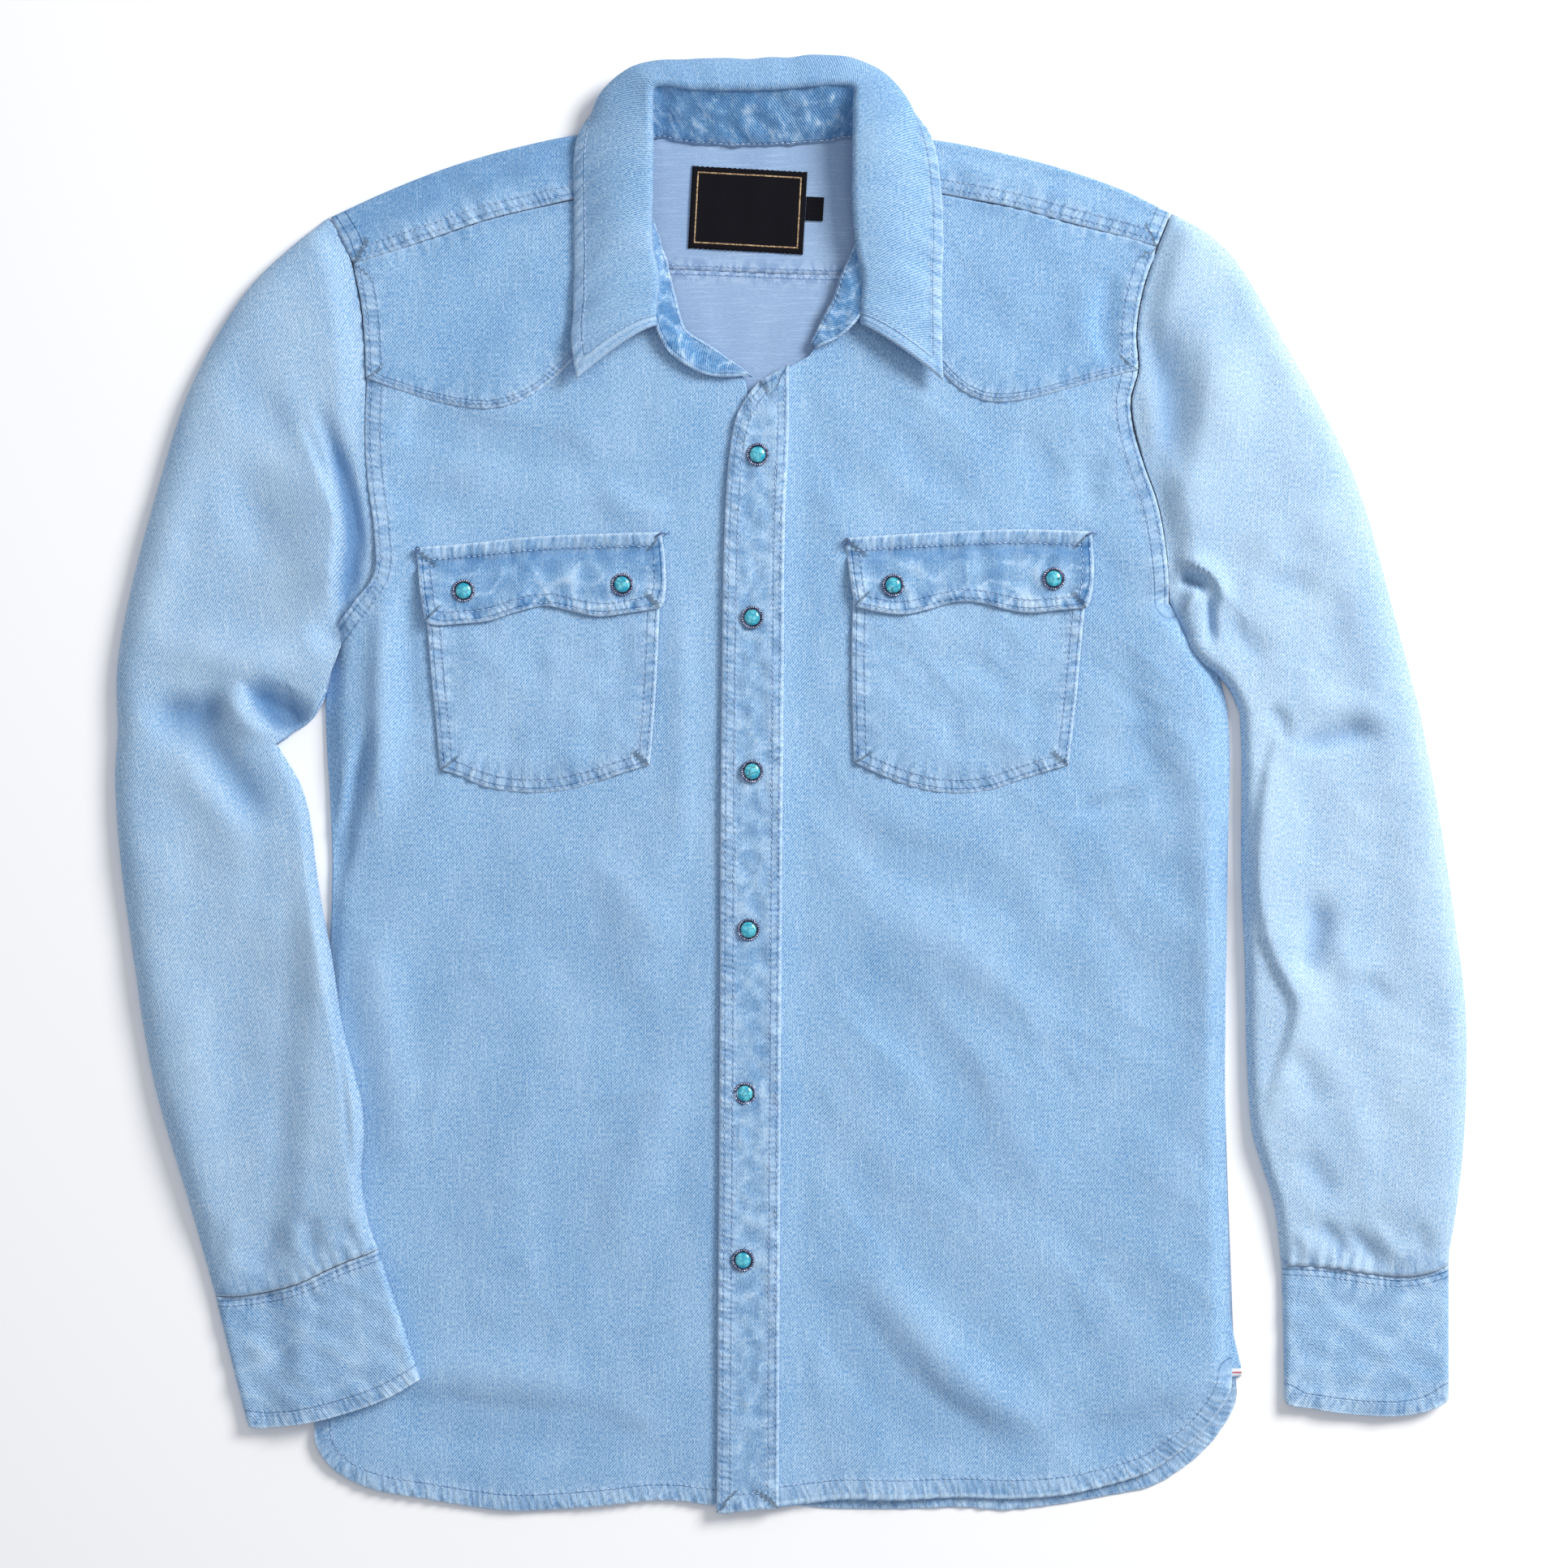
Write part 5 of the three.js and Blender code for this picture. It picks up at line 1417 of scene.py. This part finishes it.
def buildLeaf():  # returns its stitch rows
    t = np.concatenate([[0, 0.012, 0.035], np.linspace(0.07, 0.9, 17), [0.935, 0.968, 0.988, 1]])
    sections = []
    for foldAt, bend, edge in leafSections:
        f, b, e = (np.array(q, float) for q in (foldAt, bend, edge))
        inwards = (f - b) * np.array([1, 1, 0])
        inwards /= np.linalg.norm(inwards)
        turned = [f + inwards * away - [0, 0, down] for away, down in ((2.7, 5.0), (2.6, 2.6), (1.7, 0.7))]
        bow = (1 - t)[:, None] ** 2 * f + 2 * (t * (1 - t))[:, None] * b + t[:, None] ** 2 * e
        sections.append(np.vstack([turned, bow]))
    middle = loft(sections, 300)[::-1]
    down = spread(middle, 1)
    edgeAway = down[:, -1:] - down
    s = lengths(middle[:, -1])[:, None]
    ends = np.minimum(s, s[-1] - s)
    away = np.minimum(edgeAway, ends + 0 * edgeAway)
    lump = bumps(s + edgeAway * 0.3, 6.6, 91)
    band = np.exp(-((edgeAway - 3.5) / 4.2) ** 2)
    endBand = np.exp(-((ends - 3.5) / 4.0) ** 2)
    endLump = bumps(edgeAway, 6.0, 92) * endBand
    groove = 0.35 * np.exp(-((away - 7.2) / 1.1) ** 2)
    calm = waves(s + 0 * down, down, 26, 93) * 0.3
    relief = 0.85 * lump * band + 0.75 * endLump - groove + calm * smooth(0, 6, down)
    wash = 1.5 * (lump - 0.34) * band + 1.3 * (endLump - 0.2 * endBand)
    # painted shade: the leaf is darker towards the back of the neck
    wash = wash - 0.6 * smooth(352, 388, middle[..., 1])
    isFold = (down < 8) & (ends > 8)  # along the neck the leaf has one row of its own
    away = np.where(isFold, down, away)
    row = np.where(isFold, 2.6, 7.2)
    weight = np.where(isFold, 0.55 * (1 - smooth(4.5, 8, down)), 0.9)
    seamAt = np.stack([s + 0 * down, away, weight, row, 0 * down - 9, row], -1)
    uv = np.stack([s + 0 * down, down], -1)
    piece, upper = curvedPiece("collarLeaf", middle, 2.2, relief, wash, seamAt, uv)
    finishSheet(piece, denimCollar, "collar", 0.0285, "backYoke")
    inset = 7.2
    k = [int(np.argmin(np.abs(row - inset))) for row in edgeAway]
    rows = [np.array([upper[j, k[j]] for j in range(9, len(middle) - 9)])]
    for fromEnd in (s[:, 0], s[-1, 0] - s[:, 0]):
        j = int(np.argmin(np.abs(fromEnd - inset)))
        rows.append(upper[j, 3:max(5, k[j])])
    return rows


def buildStand():  # returns its stitch row
    t = np.linspace(0, 1, 13)[:, None]
    sections = [np.array(low) * (1 - t) + np.array(high) * t for low, high in standSections]
    middle = loft(sections, 220)[::-1]
    d = spread(middle, 1)
    s = lengths(middle[:, 6])[:, None]
    relief = waves(s + 0 * d, d * 0.8, 13, 95) * 0.55 + waves(s + d, d, 7, 96) * 0.2
    zigzag = 1 - np.abs(np.mod((s + 5 * np.sin(s / 13)) / 8.5 + 0.5 * np.sin(d / 4.5 + s / 30), 2) - 1)
    wash = 1.5 * np.exp(-((zigzag * 22 - d * 0.8 - 3 + waves(s + 0 * d, d, 16, 98) * 4) / 2.6) ** 2)
    wash += crinkle(s * 1.3 + 0.4 * d, d * 1.6, 30, 97) * 0.9 - 0.45
    seamAt = np.stack([s + 0 * d, np.minimum(d, d[:, -1:] - d), 0 * d + 0.7, 0 * d + 1.8, 0 * d - 9,
                       0 * d + 1.8], -1)
    uv = np.stack([s + 0 * d, d], -1)
    piece, inner = curvedPiece("collarStand", middle, 2.0, relief, wash, seamAt, uv)
    finishSheet(piece, denimStand, "collar_stand", 0.0105, "backYoke")
    return np.array([[np.interp(1.6, d[j], inner[j, :, q]) for q in range(3)] for j in range(6, 214)])


def buildCollar():
    stitchMesh("stitchesCollar", buildLeaf() + [buildStand()])
    print("collar")


buildCollar()


# label and size tab

def buildLabel():
    label = dict(width=63, height=45, x=-23.5, y=315.5, tilt=-0.055)
    c, s = math.cos(label["tilt"]), math.sin(label["tilt"])

    def place(px, py, height):
        x = label["x"] + px * c - py * s
        y = label["y"] + px * s + py * c
        wave = 0.35 * np.sin(px / 7.0 + 0.6) * np.sin(py / 8.0) + 0.25 * np.sin(px / 3.1)
        return np.stack([x, y, 2.6 + wave * 0.6 + height], -1)

    def sheetOf(name, x0, x1, y0, y1, step, thickness, raised=0.0):
        us = np.linspace(x0, x1, int((x1 - x0) / step) + 2)
        vs = np.linspace(y0, y1, int((y1 - y0) / step) + 2)
        px, py = np.meshgrid(us, vs)
        fray = 0.25 * np.sin(px * 2.1) * (np.abs(py) > 22) + 0.25 * np.sin(py * 2.3) * (np.abs(px) > 31)
        top = place(px, py + fray, raised + 0 * px)
        uv = np.stack([px, py], -1).reshape(-1, 2)
        return newMesh(name, bothFaces(top, top - np.array([0, 0, thickness])), shellFaces(*px.shape)[0],
                       twice(uv))

    sh = Shader("labelWeave")
    u, v = sh.cloth()
    weft, warp = ((way * (2 * math.pi / pitch)).sin() * 0.5 + 0.5 for way, pitch in ((v, 0.55), (u, 0.7)))
    lint = sh.noise(u * 0.9, v * 2.6).between(0.5, 0.75)
    color = sh.mix(weft * 0.4 + lint * 0.25, tone(9, 8, 13), tone(27, 26, 36))
    satin = sh.finish(color, 0.85, weft + warp * 0.5, 0.0001, **{"Specular IOR Level": 0.15})
    sh = Shader("borderThread")
    twist = sh.mottle(900.0).between(0.4, 0.6)
    tan = sh.finish(sh.mix(twist, tone(132, 104, 74), tone(196, 168, 128)), 0.6)

    x, y = label["width"] / 2, label["height"] / 2
    patchPiece = sheetOf("labelPatch", -x, x, -y, y, 1.4, 0.9)
    finishPiece(patchPiece, [satin], "label")
    x, y, width = 28.6, 19.6, 0.75  # half sizes of the border line, and its width
    for name, box in dict(Top=(-x, x, y - width, y), Bottom=(-x, x, -y, -y + width),
                          Left=(-x, -x + width, -y + width, y - width),
                          Right=(x - width, x, -y + width, y - width)).items():
        finishPiece(sheetOf("labelLine" + name, *box, 0.7, 0.4, raised=0.28), [tan])
    tab = sheetOf("sizeTab", 31.9, 41.4, -3.5, 9.0, 1.0, 0.8)
    finishPiece(tab, [satin], "size_tab")
    print("label")


buildLabel()


# gussets at the side slits

gussetSeam = np.array([[0, -291], [0, -324.6]])


def buildGussets():
    sh = Shader("selvedge")
    u, v = sh.cloth()
    grain = sh.noise(u * 1.5, v * 1.2)
    cloth = sh.mix(grain.between(0.3, 0.7), denimTones["deep"], denimTones["pale"])
    white = v.between(-323.4, -323.2) * (1.0 - v.between(-319.2, -319.0))
    red = v.between(-321.9, -321.7) * (1.0 - v.between(-321.1, -320.9))
    color = sh.mix(red, sh.mix(white, cloth, tone(236, 236, 242)), tone(190, 70, 84))
    selvedge = sh.finish(color, 0.9, grain, 0.0001)
    for name, node, mirror in (("gussetLeft", "gusset_left", 1), ("gussetRight", "gusset_right", -1)):
        low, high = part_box(node)
        near = (low[0] if mirror > 0 else high[0]) / mm
        wide = (high[0] - low[0]) / mm
        outline = np.array([[0, -291], [0.34, -302], [0.72, -312], [1, -319.5], [1, -323.4]])
        edge, inner = (resample(line, np.linspace(0, 1, 12)) for line in (outline, gussetSeam))
        k = np.linspace(0, 1, 6)[None, :, None]
        grid = inner[:, None] * (1 - k) + edge[:, None] * k
        x = near + mirror * grid[..., 0] * wide
        y = grid[..., 1]
        z = 2.3 - 0.5 * grid[..., 0] + 0.2 * np.sin(y / 3)
        top = np.stack([x, y, z], -1)
        bottom = np.stack([x, y, 0 * z + 0.2], -1)
        if mirror > 0:
            top, bottom = top[::-1], bottom[::-1]
        piece = newMesh(name, bothFaces(top, bottom), shellFaces(*top.shape[:2])[0],
                        twice(top[..., :2].reshape(-1, 2)))
        finishPiece(piece, [selvedge], node)
    print("gussets")


buildGussets()


# snaps

snap = dict(radius=6.45, bead=0.66, beads=28, stone=4.4)


def snapRim():  # a dished metal cap with a rope of beads round its edge
    deselect()
    bpy.ops.mesh.primitive_cylinder_add(vertices=48, radius=(snap["radius"] - 0.25) * mm, depth=1.3 * mm,
                                        location=(0, 0, 0.65 * mm))
    rim = bpy.context.active_object
    bpy.ops.object.mode_set(mode="EDIT")
    bpy.ops.mesh.select_mode(type="FACE")
    bpy.ops.mesh.select_all(action="DESELECT")
    bpy.ops.object.mode_set(mode="OBJECT")
    for face in rim.data.polygons:
        face.select = face.normal.z > 0.9
    bpy.ops.object.mode_set(mode="EDIT")
    bpy.ops.mesh.inset(thickness=0.35 * mm)
    bpy.ops.mesh.inset(thickness=0.95 * mm)
    bpy.ops.mesh.extrude_region_move(TRANSFORM_OT_translate={"value": (0, 0, 0.35 * mm)})
    bpy.ops.mesh.inset(thickness=0.4 * mm)
    bpy.ops.mesh.extrude_region_move(TRANSFORM_OT_translate={"value": (0, 0, -0.6 * mm)})
    bpy.ops.object.mode_set(mode="OBJECT")
    bevel = rim.modifiers.new("bevel", "BEVEL")
    bevel.width = 0.14 * mm
    bevel.segments = 2
    bpy.ops.object.modifier_apply(modifier="bevel")
    plainFaces = len(rim.data.polygons)
    beads = []
    for k in range(snap["beads"]):
        angle = 2 * math.pi * k / snap["beads"]
        away = (snap["radius"] - 0.85) * mm
        at = (away * math.cos(angle), away * math.sin(angle), 1.28 * mm)
        bpy.ops.mesh.primitive_uv_sphere_add(segments=8, ring_count=6, radius=snap["bead"] * mm,
                                             location=at)
        bead = bpy.context.active_object
        bead.scale = (1.15, 0.78, 0.85)
        bead.rotation_euler = (0, 0, angle + 0.6)
        beads.append(bead)
    deselect()
    for bead in beads + [rim]:
        bead.select_set(True)
    bpy.context.view_layer.objects.active = rim
    bpy.ops.object.join()
    bpy.ops.object.transform_apply(location=True, rotation=True, scale=True)
    bpy.ops.object.shade_smooth_by_angle(angle=math.radians(40))
    return rim, plainFaces


def snapStone():  # the lower half of a sphere pressed flat, under a polished dome
    deselect()
    bpy.ops.mesh.primitive_uv_sphere_add(segments=36, ring_count=20, radius=snap["stone"] * mm)
    stone = bpy.context.active_object
    for vertex in stone.data.vertices:
        z = vertex.co.z / (snap["stone"] * mm)
        vertex.co.z = (0.9 + 1.75 * z if z > 0 else 0.9 + 0.6 * z) * mm
    bpy.ops.object.shade_smooth()
    return stone


def snapMaterials():
    metals = []
    for name, deep, bright in (("antiqueSteel", tone(38, 42, 68), tone(104, 110, 140)),
                               ("rubbedSteel", tone(128, 136, 168), tone(222, 228, 244))):
        sh = Shader(name)
        patina = sh.mottle(700.0, 3.0)
        color = sh.mix(patina.between(0.4, 0.68), deep, bright)
        metals.append(sh.finish(color, 0.3 + patina * 0.2, patina, 0.00005, **{"Metallic": 0.9}))
    sh = Shader("turquoise")
    where = sh.node("ShaderNodeTexCoord", {}, {}, 3)
    cloud = sh.mottle(260.0, 3.0)
    veinAt = sh.node("ShaderNodeTexVoronoi", {"feature": "DISTANCE_TO_EDGE"},
                     {"Vector": where, "Scale": 330.0})
    vein = 1.0 - veinAt.between(0.0, 0.07)
    color = sh.mix(cloud.between(0.35, 0.65), tone(30, 160, 192), tone(104, 208, 222))
    color = sh.mix(vein * (cloud.between(0.35, 0.55) * 0.7 + 0.25), color, tone(12, 78, 100))
    stone = sh.finish(color, 0.22, **{"Coat Weight": 0.5, "Coat Roughness": 0.08})
    return metals, [stone]


def buildSnaps():
    metals, stoneFinish = snapMaterials()
    (rim, plainFaces), stone = snapRim(), snapStone()
    names = [n[len("snap_rim_"):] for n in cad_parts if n.startswith("snap_rim_")]
    for name in sorted(names):
        low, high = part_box("snap_rim_" + name)
        x, y = (low[0] + high[0]) / 2 / mm, (low[1] + high[1]) / 2 / mm
        if name.startswith("front"):
            z = placketTop(np.array([x]), np.array([y]))[0]
        else:
            side = "Right" if "right" in name else "Left"
            z = pockets[side]["flapHeight"](np.array([x]), np.array([y]))[0]
        turn = 0.7 * x + 0.3 * y
        for part, finishes, slot, node in ((rim, metals, "snap_metal", "snap_rim_"),
                                           (stone, stoneFinish, "snap_stone", "snap_stone_")):
            mesh = part.data.copy()
            c, s = math.cos(turn), math.sin(turn)
            co = np.empty(len(mesh.vertices) * 3)
            mesh.vertices.foreach_get("co", co)
            co = co.reshape(-1, 3)
            moved = np.stack([co[:, 0] * c - co[:, 1] * s + x * mm, co[:, 0] * s + co[:, 1] * c + y * mm,
                              co[:, 2] + (z + 0.15) * mm], 1)
            mesh.vertices.foreach_set("co", moved.ravel())
            for face in mesh.polygons:
                face.material_index = 1 if part is rim and face.index >= plainFaces else 0
            piece = bpy.data.objects.new(("rim_" if part is rim else "stone_") + name, mesh)
            bpy.context.collection.objects.link(piece)
            finishPiece(piece, finishes, node + name)
    bpy.data.objects.remove(rim)
    bpy.data.objects.remove(stone)
    print("snaps")


buildSnaps()
